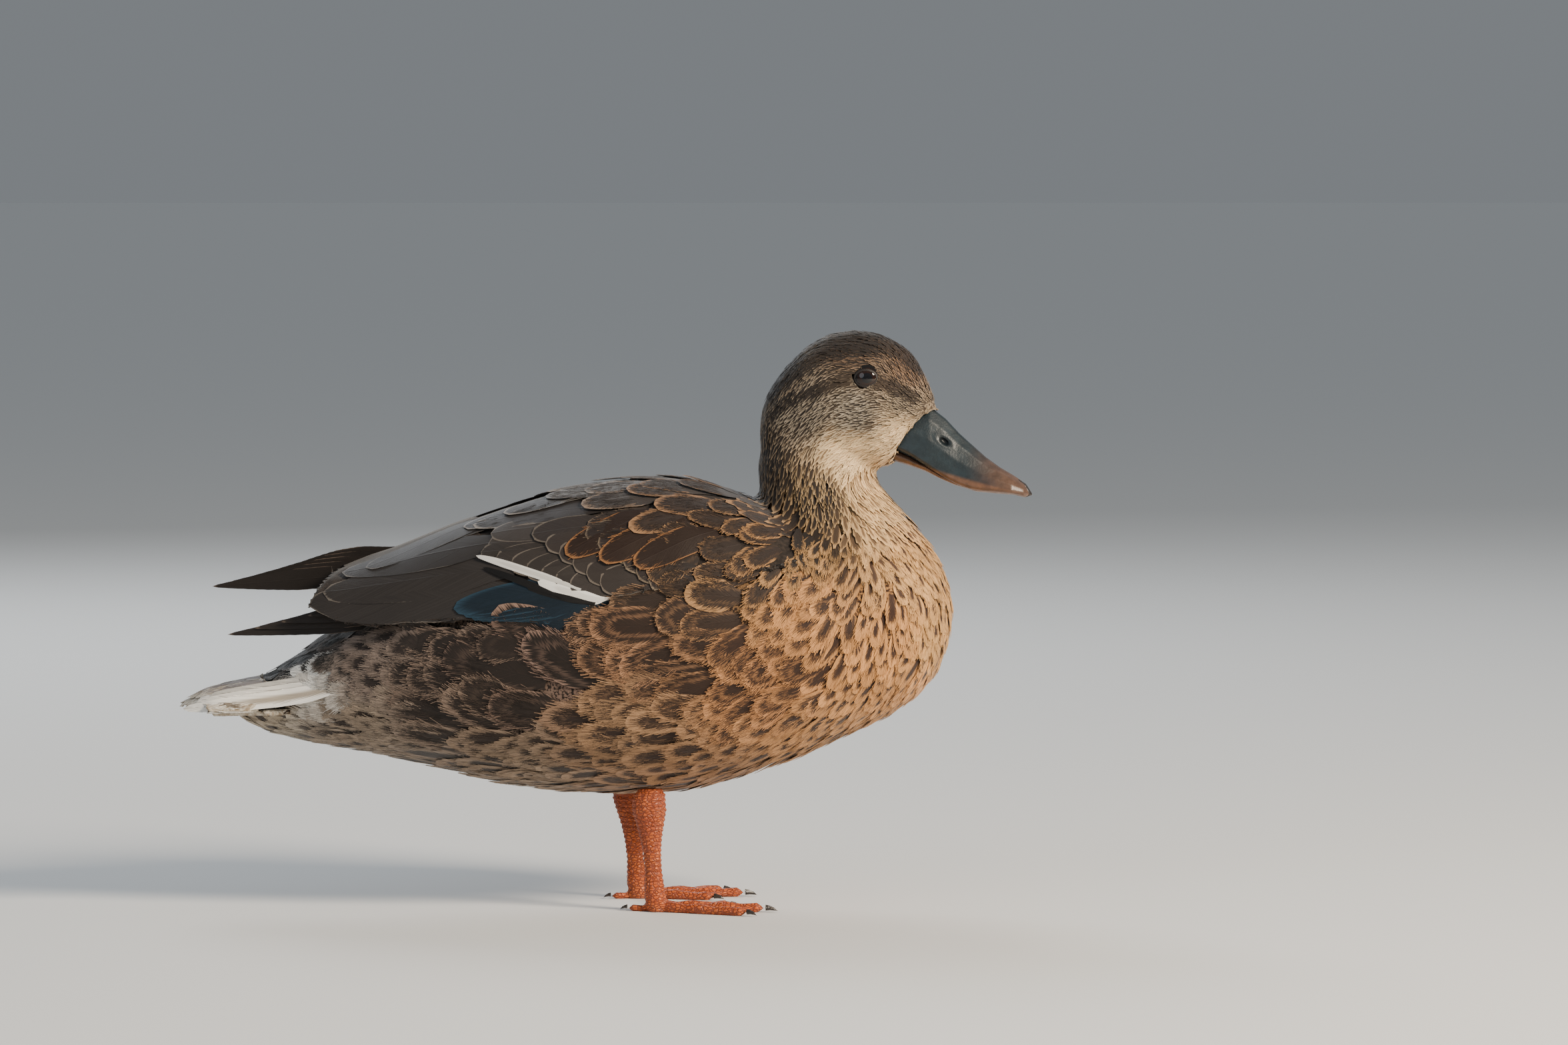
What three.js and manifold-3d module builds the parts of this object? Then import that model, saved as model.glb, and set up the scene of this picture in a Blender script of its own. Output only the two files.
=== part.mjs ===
// A standing female mallard as a still, life-size model, in millimetres.
// The bird faces +X, +Z is up and its soles stand on Z = 0. Its own right side is on -Y.
import * as THREE from "three";
import { mergeVertices } from "three/addons/utils/BufferGeometryUtils.js";
import Module from "manifold-3d";

const wasm = await Module();
wasm.setup();

// ---------- Driving dimensions ----------
const GAP = 0.3; // clearance between pieces that touch
const CUT = 0.4; // width of a thin cut between two parts of the plumage
const REACH = 400; // depth of a cutting prism, more than the bird is wide
const FINENESS = 0.14; // facets that change a surface by less than this are merged

const HEAD_TURN = THREE.MathUtils.degToRad(-9); // the head looks a little to its own right
const NECK_AXIS = new THREE.Vector3(86, 0, 0); // the head turns about this upright line

const EYE_RADIUS = 6.8;
const EYE_AT = { x: 110.2, y: 10.7, z: 221.4 };

const TOE_LIFT = 0.8; // height of a toe's axis over the floor, as a share of its thickness
const LEG = {
  right: { side: -1, ankle: 17.3, foot: [19.8, 27], yaw: -7 },
  left: { side: 1, ankle: 9.5, foot: [12.8, 27], yaw: 9 },
};

const COLOURS = {
  plumage: 0x9a7350, head: 0x7d6650, coverts: 0x5d5147, flight: 0x3b3430,
  tail: 0xc7bcab, bill: 0x454a4c, nail: 0x2a2320, billEdge: 0xa86a3c,
  eye: 0x140d09, leg: 0xc8562a, claw: 0x2c2420,
};

// ---------- Solids ----------
// A closed geometry as a solid of the boolean library.
function solidOf(geometry) {
  const bare = new THREE.BufferGeometry()
    .setAttribute("position", geometry.getAttribute("position"))
    .setIndex(geometry.index);
  const merged = mergeVertices(bare, 1e-4);
  const made = new wasm.Manifold(new wasm.Mesh({
    numProp: 3,
    vertProperties: merged.attributes.position.array,
    triVerts: new Uint32Array(merged.index.array),
  }));
  if (made.volume() < 0) throw new Error("a solid is inside out");
  return made;
}

// The largest body of a solid, without the slivers that a cut leaves.
const pick = (solid) => solid.decompose().sort((a, b) => b.volume() - a.volume())[0];

// A solid as a named mesh of the model.
function meshOf(name, solid, colour, roughness = 0.8) {
  const { numProp, numVert, vertProperties, triVerts } = pick(solid.simplify(FINENESS)).getMesh();
  const positions = new Float32Array(numVert * 3);
  for (let i = 0; i < numVert; i++)
    positions.set(vertProperties.subarray(i * numProp, i * numProp + 3), i * 3);
  const geometry = new THREE.BufferGeometry()
    .setAttribute("position", new THREE.BufferAttribute(positions, 3))
    .setIndex(new THREE.BufferAttribute(triVerts, 1));
  geometry.computeVertexNormals();
  const mesh = new THREE.Mesh(
    geometry,
    new THREE.MeshStandardMaterial({ color: colour, roughness, metalness: 0 }),
  );
  mesh.name = name;
  return mesh;
}

// Smooth values between rows of a station table: count + 1 rows, evenly spaced by row number.
function smoothRows(rows, count) {
  const width = rows[0].length;
  const spline = new THREE.CubicInterpolant(
    rows.map((_, i) => i),
    new Float32Array(rows.flat()),
    width,
  );
  return Array.from({ length: count + 1 }, (_, i) =>
    Array.from(spline.evaluate((i / count) * (rows.length - 1))));
}

// A closed skin through rings of equal size, with a point at each end.
function skinOf(rings, start, end) {
  const around = rings[0].length;
  const points = [start, ...rings.flat(), end];
  const last = points.length - 1;
  const faces = [];
  for (let j = 0; j < around; j++) {
    const k = (j + 1) % around;
    faces.push(0, 1 + k, 1 + j);
    for (let i = 0; i < rings.length - 1; i++) {
      const a = 1 + i * around;
      const b = a + around;
      faces.push(a + j, a + k, b + j, b + j, a + k, b + k);
    }
    faces.push(last, last - around + j, last - around + k);
  }
  const geometry = new THREE.BufferGeometry();
  geometry.setAttribute("position", new THREE.Float32BufferAttribute(
    points.flatMap((p) => [p.x, p.y, p.z]), 3));
  return geometry.setIndex(faces);
}

// A superellipse's point at angle a, for half sizes across, up and down.
function superPoint(a, across, up, down, power) {
  const c = Math.cos(a);
  const s = Math.sin(a);
  return [
    across * Math.sign(c) * Math.abs(c) ** (2 / power),
    (s > 0 ? up : down) * Math.sign(s) * Math.abs(s) ** (2 / power),
  ];
}

// A body along X from rows of [x, top, bottom, half width, height of the widest line, power].
function bodyOf(rows, along, around, grow = 0) {
  const smooth = smoothRows(rows, along);
  const rings = smooth.slice(1, -1).map(([x, top, bottom, half, wide, power]) =>
    Array.from({ length: around }, (_, j) => {
      const [y, z] = superPoint((2 * Math.PI * j) / around, Math.max(half + grow, 0.2),
        Math.max(top - wide + grow, 0.2), Math.max(wide - bottom + grow, 0.2), power);
      return new THREE.Vector3(x, y, wide + z);
    }));
  const [first] = smooth;
  const last = smooth[smooth.length - 1];
  return skinOf(rings,
    new THREE.Vector3(first[0] - grow, 0, first[4]),
    new THREE.Vector3(last[0] + grow, 0, last[4]));
}

// A limb along a line of centres, from rows of [x, y, z, half length, half width].
function limbOf(rows, along, around, grow = 0) {
  const smooth = smoothRows(rows, along);
  const rings = smooth.slice(1, -1).map(([x, y, z, long, wide]) =>
    Array.from({ length: around }, (_, j) => {
      const a = (2 * Math.PI * j) / around;
      return new THREE.Vector3(
        x + (long + grow) * Math.cos(a), y + (wide + grow) * Math.sin(a), z);
    }));
  const [x0, y0, z0] = smooth[0];
  const [x1, y1, z1] = smooth[smooth.length - 1];
  return skinOf(rings,
    new THREE.Vector3(x0, y0, z0 - grow), new THREE.Vector3(x1, y1, z1 + grow));
}

// A smooth line of [x, z] points in side view.
const sideLine = (points, steps = 12) =>
  new THREE.SplineCurve(points.map((p) => new THREE.Vector2(...p))).getPoints(steps);

// An outline in side view, extruded across the bird between two values of Y.
function sidePrism(outline, from = -REACH / 2, to = REACH / 2) {
  const geometry = new THREE.ExtrudeGeometry(new THREE.Shape(outline), {
    depth: to - from, bevelEnabled: false, steps: 1,
  });
  geometry.rotateX(Math.PI / 2).translate(0, to, 0);
  return solidOf(geometry);
}

// Everything below a height.
const floorRoom = (height) =>
  solidOf(new THREE.BoxGeometry(REACH, REACH, REACH).translate(0, 0, height - REACH / 2));

// A thin wall that follows a line in side view, to part two pieces.
function sideCut(line) {
  const left = [];
  const right = [];
  line.forEach((p, i) => {
    const before = line[Math.max(i - 1, 0)];
    const after = line[Math.min(i + 1, line.length - 1)];
    const along = new THREE.Vector2().subVectors(after, before).normalize();
    const across = new THREE.Vector2(-along.y, along.x).multiplyScalar(CUT / 2);
    left.push(p.clone().add(across));
    right.unshift(p.clone().sub(across));
  });
  return sidePrism([...left, ...right]);
}

const turnHead = (geometry) => geometry
  .translate(-NECK_AXIS.x, 0, 0)
  .rotateZ(HEAD_TURN)
  .translate(NECK_AXIS.x, 0, 0);

const joined = (solids) => solids.reduce((a, b) => a.add(b));

// ---------- Head, neck and trunk ----------
// Rows of [x, top, bottom, half width, height of the widest line, power].
const TRUNK_ROWS = [
  [-160, 88, 83, 1, 86, 2],
  [-152, 92.5, 77.8, 10, 85.5, 2],
  [-138, 100.4, 71.4, 22, 86.5, 2.1],
  [-114, 117, 66.6, 34, 90, 2.15],
  [-85, 138, 61.5, 45, 97, 2.2],
  [-55, 156, 52.8, 53, 104, 2.2],
  [-25, 168, 48.2, 58.5, 108, 2.2],
  [5, 175.5, 46.4, 61, 111, 2.2],
  [35, 176, 47.8, 60.5, 113, 2.2],
  [62, 168.5, 55, 57.5, 115, 2.2],
  [86, 157, 64.2, 52, 117, 2.15],
  [108, 149, 74, 44, 119, 2.1],
  [125, 146, 82.6, 35.5, 121, 2],
  [137, 142.5, 94.4, 24.5, 122, 2],
  [142.8, 137, 107.5, 13, 123, 2],
  [145.6, 127, 120, 2, 124, 2],
];
// Level sections of the neck: [z, back, front, half width].
const NECK_ROWS = [
  [92, 84, 118, 6],
  [101, 74, 134, 29],
  [116, 64, 144.5, 41],
  [131, 59, 144.6, 44],
  [146, 59, 139.6, 40.5],
  [158, 61, 131.2, 35],
  [167, 63, 123.4, 29.5],
  [175, 63.4, 115.4, 25],
  [184, 62.6, 112, 22],
  [194, 65, 111.5, 19.8],
  [204, 70, 106, 12],
];
const HEAD_ROWS = [
  [63.4, 202, 191, 1, 197, 2],
  [65, 209.4, 182, 8.5, 198, 2],
  [69.4, 219.4, 177, 13.6, 200.5, 2],
  [79, 231, 178, 17, 203, 2.05],
  [90, 238.8, 180.6, 18.7, 205, 2.1],
  [103, 241.6, 182.3, 18.9, 206, 2.15],
  [115, 240, 183, 17.7, 206.5, 2.15],
  [123, 235.6, 186, 15.2, 206.5, 2.15],
  [128, 231.8, 192.6, 13, 208, 2.1],
  [132.2, 225, 200.6, 10.4, 210, 2.1],
  [136.4, 215.8, 204.2, 7.2, 209, 2],
  [140, 207.8, 205, 3.2, 206.4, 2],
];

const neckOf = (grow = 0) => limbOf(NECK_ROWS.map(([z, back, front, half]) =>
  [(back + front) / 2, 0, z, (front - back) / 2, half]), 11, 22, grow);

// ---------- Bill ----------
// Rows of both halves are as for the head. The lower half closes inside the upper one's rim.
const UPPER_BILL_ROWS = [
  [117, 200, 193.2, 5, 195.3, 2],
  [120, 205.6, 191.4, 8.8, 194.2, 2],
  [127, 209.4, 188, 9.9, 191.2, 1.95],
  [134, 210, 183.6, 10.1, 186.9, 1.9],
  [140, 206.6, 179.7, 9.9, 182.9, 1.85],
  [145, 201, 176.9, 9.6, 180, 1.85],
  [150.4, 196, 174.7, 9.5, 177.5, 1.9],
  [155.2, 191.6, 173.6, 9.7, 176.2, 1.95],
  [160.4, 187, 173.1, 10.2, 175.6, 2],
  [166, 183.2, 172.8, 10.8, 175.2, 2.05],
  [171.4, 180, 172.4, 10.4, 174.5, 2.1],
  [175.8, 176.9, 171.4, 7.4, 173.6, 2.1],
  [178.6, 173.6, 171.2, 1.5, 172.5, 2],
];
const LOWER_BILL_ROWS = [
  [116.6, 191.2, 189.2, 3.6, 190.6, 2],
  [119.4, 192.4, 186.6, 6.8, 190, 2.1],
  [127, 189.4, 184.4, 7.6, 187.2, 2.1],
  [134, 185.2, 182, 7.7, 184.2, 2.1],
  [140, 181.7, 179, 7.4, 180.8, 2.1],
  [146, 178.7, 176.5, 7.1, 178, 2.1],
  [155.2, 176, 173.8, 7.3, 175.2, 2.1],
  [166, 174.7, 172.9, 8, 174.1, 2.1],
  [173, 173.7, 172.5, 5.6, 173.3, 2.1],
  [175, 173.2, 172.7, 1.6, 173, 2],
];
const NAIL = { start: 171.8, half: 3.7 };
const NOSTRIL = { x: 142.2, z: 195, tilt: 36, half: [2.8, 1.3], depth: 2.4, out: 7.7 };

const upperBillOf = (grow = 0) => solidOf(turnHead(bodyOf(UPPER_BILL_ROWS, 11, 14, grow)));
const lowerBillOf = (grow = 0) => solidOf(turnHead(bodyOf(LOWER_BILL_ROWS, 9, 10, grow)));

// A slanted pit in one side of the bill.
function nostrilOf(side) {
  const pit = new THREE.SphereGeometry(1, 8, 6);
  pit.scale(NOSTRIL.half[0], NOSTRIL.depth, NOSTRIL.half[1]);
  pit.rotateY(THREE.MathUtils.degToRad(NOSTRIL.tilt));
  return turnHead(pit.translate(NOSTRIL.x, side * NOSTRIL.out, NOSTRIL.z));
}

function eyeOf(side, radius) {
  const ball = new THREE.SphereGeometry(radius, 12, 8).rotateX(Math.PI / 2);
  return turnHead(ball.translate(EYE_AT.x, side * EYE_AT.y, EYE_AT.z));
}

// ---------- Wings and tail ----------
// The folded wings lie on this hull; rows as for the trunk.
const HULL_ROWS = [
  [-184, 128, 110, 5, 117, 2],
  [-166, 135.5, 100, 15, 116, 1.9],
  [-140, 140.5, 92, 27, 115, 1.9],
  [-112, 145, 88, 38, 113, 1.95],
  [-85, 153.4, 82, 48, 112, 2],
  [-55, 165.4, 70, 56, 111, 2.1],
  [-25, 174, 60, 62, 110, 2.2],
  [5, 180.2, 50, 64.5, 111, 2.2],
  [35, 180.4, 50, 64, 113, 2.2],
  [62, 171.6, 56, 60.5, 115, 2.2],
  [86, 160, 66, 54.5, 117, 2.15],
  [108, 151, 76, 46, 119, 2.1],
];
const SHELL = { coverts: 5.5, tertials: 3, primaries: 2 }; // thickness of each layer

const SCAPULAR_EDGE = sideLine([[100, 150], [84, 149], [58, 147], [14, 148.5], [-15, 149],
  [-26, 157], [-40, 162.5], [-57, 166]], 18);
const COVERT_EDGE = sideLine([[-57, 166], [-54, 156], [-52.5, 146], [-43, 140], [-30, 134],
  [-17.6, 130.5], [0, 131]], 14);
const FLANK_EDGE = sideLine([[0, 131], [14, 134], [39, 138], [62, 141.5], [84, 146], [100, 150]]);
const CROSSING_EDGE = sideLine([[-57, 166], [-85, 154.5], [-102, 147.5], [-118, 138.5],
  [-125, 127]], 12);
const TERTIAL_EDGE = sideLine([[-125, 127], [-112, 120.5], [-98, 118.7], [-80, 120], [-57, 121.5],
  [-36, 121.5], [-17, 121], [0, 131]], 16);
const SHOULDER_EDGE = sideLine([[100, 150], [84, 163], [72, 172], [61, 190]], 8);
const RIGHT_PRIMARIES = sideLine([[-78, 122.4], [-100, 119.6], [-125, 118.2], [-142, 117.4],
  [-155.4, 114.6], [-141, 121.6], [-125, 129.5], [-100, 139], [-78, 142], [-78, 122.4]], 26);
const LEFT_PRIMARIES = [...sideLine([[-60, 167.2], [-86, 155.4], [-103, 148.2], [-117, 140.4],
  [-128, 136.4], [-150, 134.2], [-165, 133.4]], 14), ...sideLine([[-165, 133.4],
  [-162, 139], [-130, 153], [-60, 176]], 5).slice(1)];

const reversed = (line) => [...line].reverse();
const REGIONS = {
  scapulars: [...SCAPULAR_EDGE, new THREE.Vector2(-57, 190), ...reversed(SHOULDER_EDGE)],
  wing: [...SCAPULAR_EDGE, ...COVERT_EDGE.slice(1), ...FLANK_EDGE.slice(1, -1)],
  tertials: [...COVERT_EDGE, ...reversed(TERTIAL_EDGE).slice(1),
    ...reversed(CROSSING_EDGE).slice(1, -1)],
};

// The layer of the hull between two depths under its surface.
const layerOf = (depth, thick) =>
  solidOf(bodyOf(HULL_ROWS, 14, 26, -depth))
    .subtract(solidOf(bodyOf(HULL_ROWS, 14, 26, -depth - thick)));

const TAIL = {
  root: -104, tip: -179.6, half: 37, rootHalf: 14, outerShorter: 17, bottom: 83.2,
  feathers: 9, scallop: 2.6, thick: 2.2,
};
const TAIL_ROWS = [
  [-184, 85, 81, 38, 83, 1.6],
  [-168, 91.6, 81, 36, 83.2, 1.6],
  [-150, 96.4, 81, 34, 83.4, 1.6],
  [-130, 100.4, 81, 30, 84, 1.65],
  [-110, 106, 82, 25, 85, 1.7],
  [-96, 109, 82, 20, 86, 1.7],
];

// The tail's outline from above: rounded feather tips along a blunt curve.
function tailOutline() {
  const points = [1, -1].map((side) => new THREE.Vector2(TAIL.root, side * TAIL.rootHalf));
  const steps = TAIL.feathers * 3;
  for (let i = 0; i <= steps; i++) {
    const share = (2 * i) / steps - 1;
    const dip = Math.abs(Math.sin((Math.PI * TAIL.feathers * (share + 1)) / 2));
    const x = TAIL.tip + TAIL.outerShorter * share * share + TAIL.scallop * (1 - dip);
    points.push(new THREE.Vector2(x, TAIL.half * share));
  }
  return points;
}

// A thin, arched fan over a flat underside.
function tailOf() {
  const plan = solidOf(new THREE.ExtrudeGeometry(new THREE.Shape(tailOutline().reverse()),
    { depth: REACH / 2, bevelEnabled: false, steps: 1 }));
  return solidOf(bodyOf(TAIL_ROWS, 5, 18))
    .subtract(solidOf(bodyOf(TAIL_ROWS, 5, 18, -TAIL.thick)))
    .intersect(plan)
    .subtract(floorRoom(TAIL.bottom));
}

// ---------- Legs ----------
// The feathered thigh, from the belly's side to just above the ankle.
function thighOf({ side, ankle, foot }, grow = 0) {
  const y = side * foot[1];
  return solidOf(limbOf([
    [ankle + 0.5, y, 51.6, 2, 2],
    [ankle + 0.8, y, 52.4, 7.2, 5.4],
    [ankle + 0.5, y + side * 0.6, 57, 8, 6.6],
    [ankle - 1, y + side * 1.6, 64, 12, 9],
    [ankle - 3, y + side * 1.8, 74, 18, 12],
    [ankle - 5, y, 90, 18, 12],
    [ankle - 5, y, 96, 3, 3],
  ], 9, 12, grow));
}

// The bare leg: a swollen ankle, a slim shank and the joint over the toes.
function shankOf({ side, ankle, foot }, grow = 0) {
  const y = side * foot[1];
  const at = (share) => THREE.MathUtils.lerp(ankle, foot[0], share);
  return solidOf(limbOf([
    [at(1), y, 3.4, 1.5, 1.5],
    [at(1), y, 4.2, 4.4, 3.9],
    [at(0.93), y, 8.4, 4.4, 3.7],
    [at(0.7), y, 17, 3.6, 2.9],
    [at(0.4), y, 27, 4, 3],
    [at(0.2), y, 35, 5.6, 3.8],
    [at(0), y, 42, 7.2, 5],
    [ankle, y, 47, 6.9, 5],
    [ankle + 0.6, y, 50.6, 5.6, 4.2],
    [ankle + 0.6, y, 51.3, 1.5, 1.5],
  ], 12, 10, grow));
}

// Toes as [angle outward in degrees, length without the claw, half width].
const TOES = {
  inner: { angle: -27, length: 33, half: 2.5 },
  middle: { angle: -2, length: 45, half: 2.8 },
  outer: { angle: 21, length: 42, half: 2.5 },
  hind: { angle: 186, length: 11, half: 1.9 },
};
const JOINTS = { middle: 3, inner: 2, outer: 4, hind: 1 };
const CLAW_LENGTH = { inner: 4.6, middle: 5.2, outer: 4.4, hind: 3.2 };
const CLAW_HEIGHT = 1.9; // of a claw's axis at its root
const CLAW_LIFT = 0.05; // a claw's lowest point stays this far over the floor
const WEB = { low: 0.9, high: 2.3, reach: 0.93, notch: 0.72 };

// Moves a shape made along +X from the origin into place at a foot, turned outward by angle.
function toFoot(geometry, leg, angle) {
  const turn = THREE.MathUtils.degToRad(leg.side * (angle + leg.side * leg.yaw));
  return geometry.rotateZ(turn).translate(leg.foot[0], leg.side * leg.foot[1], 0);
}

// A toe along +X, a little thicker at each joint.
function toeOf(name) {
  const { length, half } = TOES[name];
  const around = 6;
  const steps = name === "hind" ? 3 : 7;
  const rings = Array.from({ length: steps }, (_, i) => {
    const share = (i + 0.4) / (steps - 0.2);
    const swell = 1 + 0.13 * Math.cos(2 * Math.PI * JOINTS[name] * share);
    const size = half * swell * (1 - 0.25 * share);
    return Array.from({ length: around }, (_, j) => {
      const a = (2 * Math.PI * j) / around;
      return new THREE.Vector3(length * share, size * Math.cos(a),
        size * (TOE_LIFT + 1.05 * Math.sin(a)));
    });
  });
  return skinOf(rings, new THREE.Vector3(-1.5, 0, half),
    new THREE.Vector3(length + 0.6, 0, half * 0.6));
}

// The web between two toes of a foot on the given side, with a hollow front edge.
function webOf(a, b, side) {
  const tip = ({ angle, length }, share) => {
    const turn = THREE.MathUtils.degToRad(side * angle);
    return new THREE.Vector2(Math.cos(turn), Math.sin(turn)).multiplyScalar(length * share);
  };
  const hollow = tip({ angle: (a.angle + b.angle) / 2, length: (a.length + b.length) / 2 },
    WEB.notch);
  const front = new THREE.QuadraticBezierCurve(
    tip(a, WEB.reach), hollow, tip(b, WEB.reach)).getPoints(4);
  return new THREE.ExtrudeGeometry(new THREE.Shape([new THREE.Vector2(0, 0), ...front]),
    { depth: WEB.high - WEB.low, bevelEnabled: false, steps: 1 }).translate(0, 0, WEB.low);
}

const PAD = { radius: [5.6, 5, 4], ahead: 1, height: 2.6 };

function footOf(leg, shank) {
  const { inner, middle, outer } = TOES;
  const pad = new THREE.SphereGeometry(1, 9, 6).rotateX(Math.PI / 2)
    .scale(...PAD.radius).translate(PAD.ahead, 0, PAD.height);
  const webs = [webOf(inner, middle, leg.side), webOf(middle, outer, leg.side)];
  const toes = Object.entries(TOES).map(([name, { angle }]) =>
    solidOf(toFoot(toeOf(name), leg, angle)));
  return joined([...toes, ...[pad, ...webs].map((shape) => solidOf(toFoot(shape, leg, 0)))])
    .subtract(floorRoom(0))
    .subtract(shank);
}

// A curved claw beyond a toe's end.
function clawOf(name, leg) {
  const { angle, length, half } = TOES[name];
  const long = CLAW_LENGTH[name];
  const thick = half * 0.5;
  const rings = Array.from({ length: 3 }, (_, i) => {
    const share = i / 3;
    const size = thick * (1 - 0.75 * share);
    return Array.from({ length: 6 }, (_, j) => {
      const a = (2 * Math.PI * j) / 6;
      return new THREE.Vector3(long * share + 0.05, size * Math.cos(a),
        CLAW_HEIGHT - 1.2 * share * share + size * Math.sin(a));
    });
  });
  const claw = skinOf(rings, new THREE.Vector3(0, 0, CLAW_HEIGHT),
    new THREE.Vector3(long, 0, CLAW_HEIGHT - 1.4));
  return solidOf(toFoot(claw.translate(length + 0.6 + GAP, 0, 0), leg, angle))
    .subtract(floorRoom(CLAW_LIFT));
}

// ---------- Assembly ----------
const duck = new THREE.Group();
const add = (...args) => duck.add(meshOf(...args));

const fleshOf = (grow = 0) => joined([
  solidOf(bodyOf(TRUNK_ROWS, 17, 22, grow)),
  solidOf(neckOf(grow)),
  solidOf(turnHead(bodyOf(HEAD_ROWS, 13, 20, grow))),
]);
const flesh = fleshOf();
const fleshRoom = fleshOf(GAP);

// Thin cuts in side view part the head from the neck, the neck from the trunk and the trunk
// from the rump.
const corner = (x, z) => new THREE.Vector2(x, z);
const jawLine = (x) => corner(x, 208.1 - 0.2158 * x);
const NAPE = 61.2;
const NECK_FOOT = [corner(NAPE, 171.6), corner(150, 127.6)];
const RUMP_CUT = sideLine([[-76, 180], [-84, 120], [-76, 40]], 8);
const neckSide = sidePrism([jawLine(NAPE), ...NECK_FOOT, jawLine(150)]);
const headSide = sidePrism([jawLine(40), jawLine(200), corner(200, 260), corner(40, 260)]);
const rumpSide = sidePrism([...RUMP_CUT, corner(-200, 40), corner(-200, 180)]);
const neckCuts = sideCut([corner(NAPE, 230), ...NECK_FOOT])
  .add(sideCut([jawLine(40), jawLine(160)]));

const eyeRoom = joined([-1, 1].map((side) => solidOf(eyeOf(side, EYE_RADIUS + GAP))));
const billRoom = upperBillOf(GAP).add(lowerBillOf(GAP));

const legs = Object.entries(LEG);
const legRoom = joined(legs.flatMap(([, leg]) => [thighOf(leg, GAP), shankOf(leg, GAP)]));
const body = flesh
  .subtract(joined([neckSide, headSide, neckCuts, sideCut(RUMP_CUT), legRoom]));
add("head", flesh.intersect(headSide).subtract(neckCuts).subtract(billRoom).subtract(eyeRoom),
  COLOURS.head);
add("neck", flesh.intersect(neckSide).subtract(neckCuts), COLOURS.plumage);
add("trunk", body.subtract(rumpSide), COLOURS.plumage);
add("rump", body.intersect(rumpSide), COLOURS.plumage);

// The nail is the tip of the upper bill, ahead of a rounded line.
function nailRoom(grow) {
  const shape = new THREE.Shape();
  shape.absellipse(NAIL.start + 12, 0, 12 + grow, NAIL.half + grow, 0, 2 * Math.PI);
  return solidOf(turnHead(new THREE.ExtrudeGeometry(shape,
    { depth: REACH, bevelEnabled: false, steps: 1, curveSegments: 6 })));
}
const upperBill = upperBillOf().subtract(lowerBillOf(GAP));
const nostrils = joined([-1, 1].map((side) => solidOf(nostrilOf(side))));
add("bill_upper", upperBill.subtract(nailRoom(GAP)).subtract(nostrils), COLOURS.bill, 0.45);
add("bill_nail", upperBill.intersect(nailRoom(0)), COLOURS.nail, 0.35);
add("bill_lower", lowerBillOf(), COLOURS.billEdge, 0.5);

const wingRoom = joined([fleshRoom, neckSide, neckCuts,
  ...[SCAPULAR_EDGE, COVERT_EDGE, CROSSING_EDGE].map(sideCut)]);
for (const [name, { side }] of legs) {
  const half = side < 0 ? [-REACH / 2, -CUT / 2] : [CUT / 2, REACH / 2];
  const part = (layer, outline) =>
    layer.intersect(sidePrism(outline, ...half)).subtract(wingRoom);
  add(`scapulars_${name}`, part(layerOf(0, SHELL.coverts), REGIONS.scapulars), COLOURS.coverts);
  add(`wing_${name}`, part(layerOf(0, SHELL.coverts), REGIONS.wing), COLOURS.coverts);
  add(`tertials_${name}`, part(layerOf(0, SHELL.tertials), REGIONS.tertials), COLOURS.flight);
  // The left wing's long feathers cross over the back, and the right wing's lie under its own.
  const long = side < 0
    ? part(layerOf(SHELL.tertials + GAP, SHELL.primaries), RIGHT_PRIMARIES)
    : layerOf(0, SHELL.primaries).intersect(sidePrism(LEFT_PRIMARIES)).subtract(wingRoom);
  add(`primaries_${name}`, long, COLOURS.flight);
}
add("tail", tailOf().subtract(fleshRoom), COLOURS.tail);

for (const [name, leg] of legs) {
  add(`eye_${name}`, solidOf(eyeOf(leg.side, EYE_RADIUS)), COLOURS.eye, 0.1);
  add(`thigh_${name}`, thighOf(leg), COLOURS.plumage);
  add(`shank_${name}`, shankOf(leg), COLOURS.leg, 0.5);
  add(`foot_${name}`, footOf(leg, shankOf(leg, GAP)), COLOURS.leg, 0.5);
  for (const toe of Object.keys(TOES))
    add(`claw_${toe}_${name}`, clawOf(toe, leg), COLOURS.claw, 0.4);
}

// The origin is the middle of the model's box, on the floor.
const box = new THREE.Box3().setFromObject(duck);
const middle = box.getCenter(new THREE.Vector3());
duck.position.set(-middle.x, -middle.y, 0);

export default duck;
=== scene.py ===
import math
import bpy
import numpy as np
from mathutils import Matrix, Vector
from mathutils.bvhtree import BVHTree
from mathutils.kdtree import KDTree


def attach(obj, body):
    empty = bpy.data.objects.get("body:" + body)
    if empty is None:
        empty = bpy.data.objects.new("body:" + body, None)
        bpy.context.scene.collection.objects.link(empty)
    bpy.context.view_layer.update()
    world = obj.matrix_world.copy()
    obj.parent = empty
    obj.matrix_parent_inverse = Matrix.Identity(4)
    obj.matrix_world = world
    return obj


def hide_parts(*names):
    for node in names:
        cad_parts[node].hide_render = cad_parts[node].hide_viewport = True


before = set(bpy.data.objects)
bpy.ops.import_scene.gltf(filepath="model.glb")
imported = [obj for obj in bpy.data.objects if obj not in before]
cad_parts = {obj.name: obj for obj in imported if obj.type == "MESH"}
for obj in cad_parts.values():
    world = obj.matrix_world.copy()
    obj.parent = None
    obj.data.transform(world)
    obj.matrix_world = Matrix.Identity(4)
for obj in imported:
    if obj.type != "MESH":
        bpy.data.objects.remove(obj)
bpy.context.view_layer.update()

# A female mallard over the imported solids: one skin, feathers as closed vanes in their tracts,
# quills, bill, eyes and legs. Lengths below are millimetres until a mesh is made.
MM = 0.001
RNG = np.random.default_rng(11)
SIDES = {"right": -1, "left": 1}
FLESH = ["head", "neck", "trunk", "rump", "thigh_right", "thigh_left"]

HEAD_TURN = math.radians(-9)  # the head looks to the bird's right about this upright line
NECK_AXIS = np.array([86.9, 0.0, 0.0])


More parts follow.
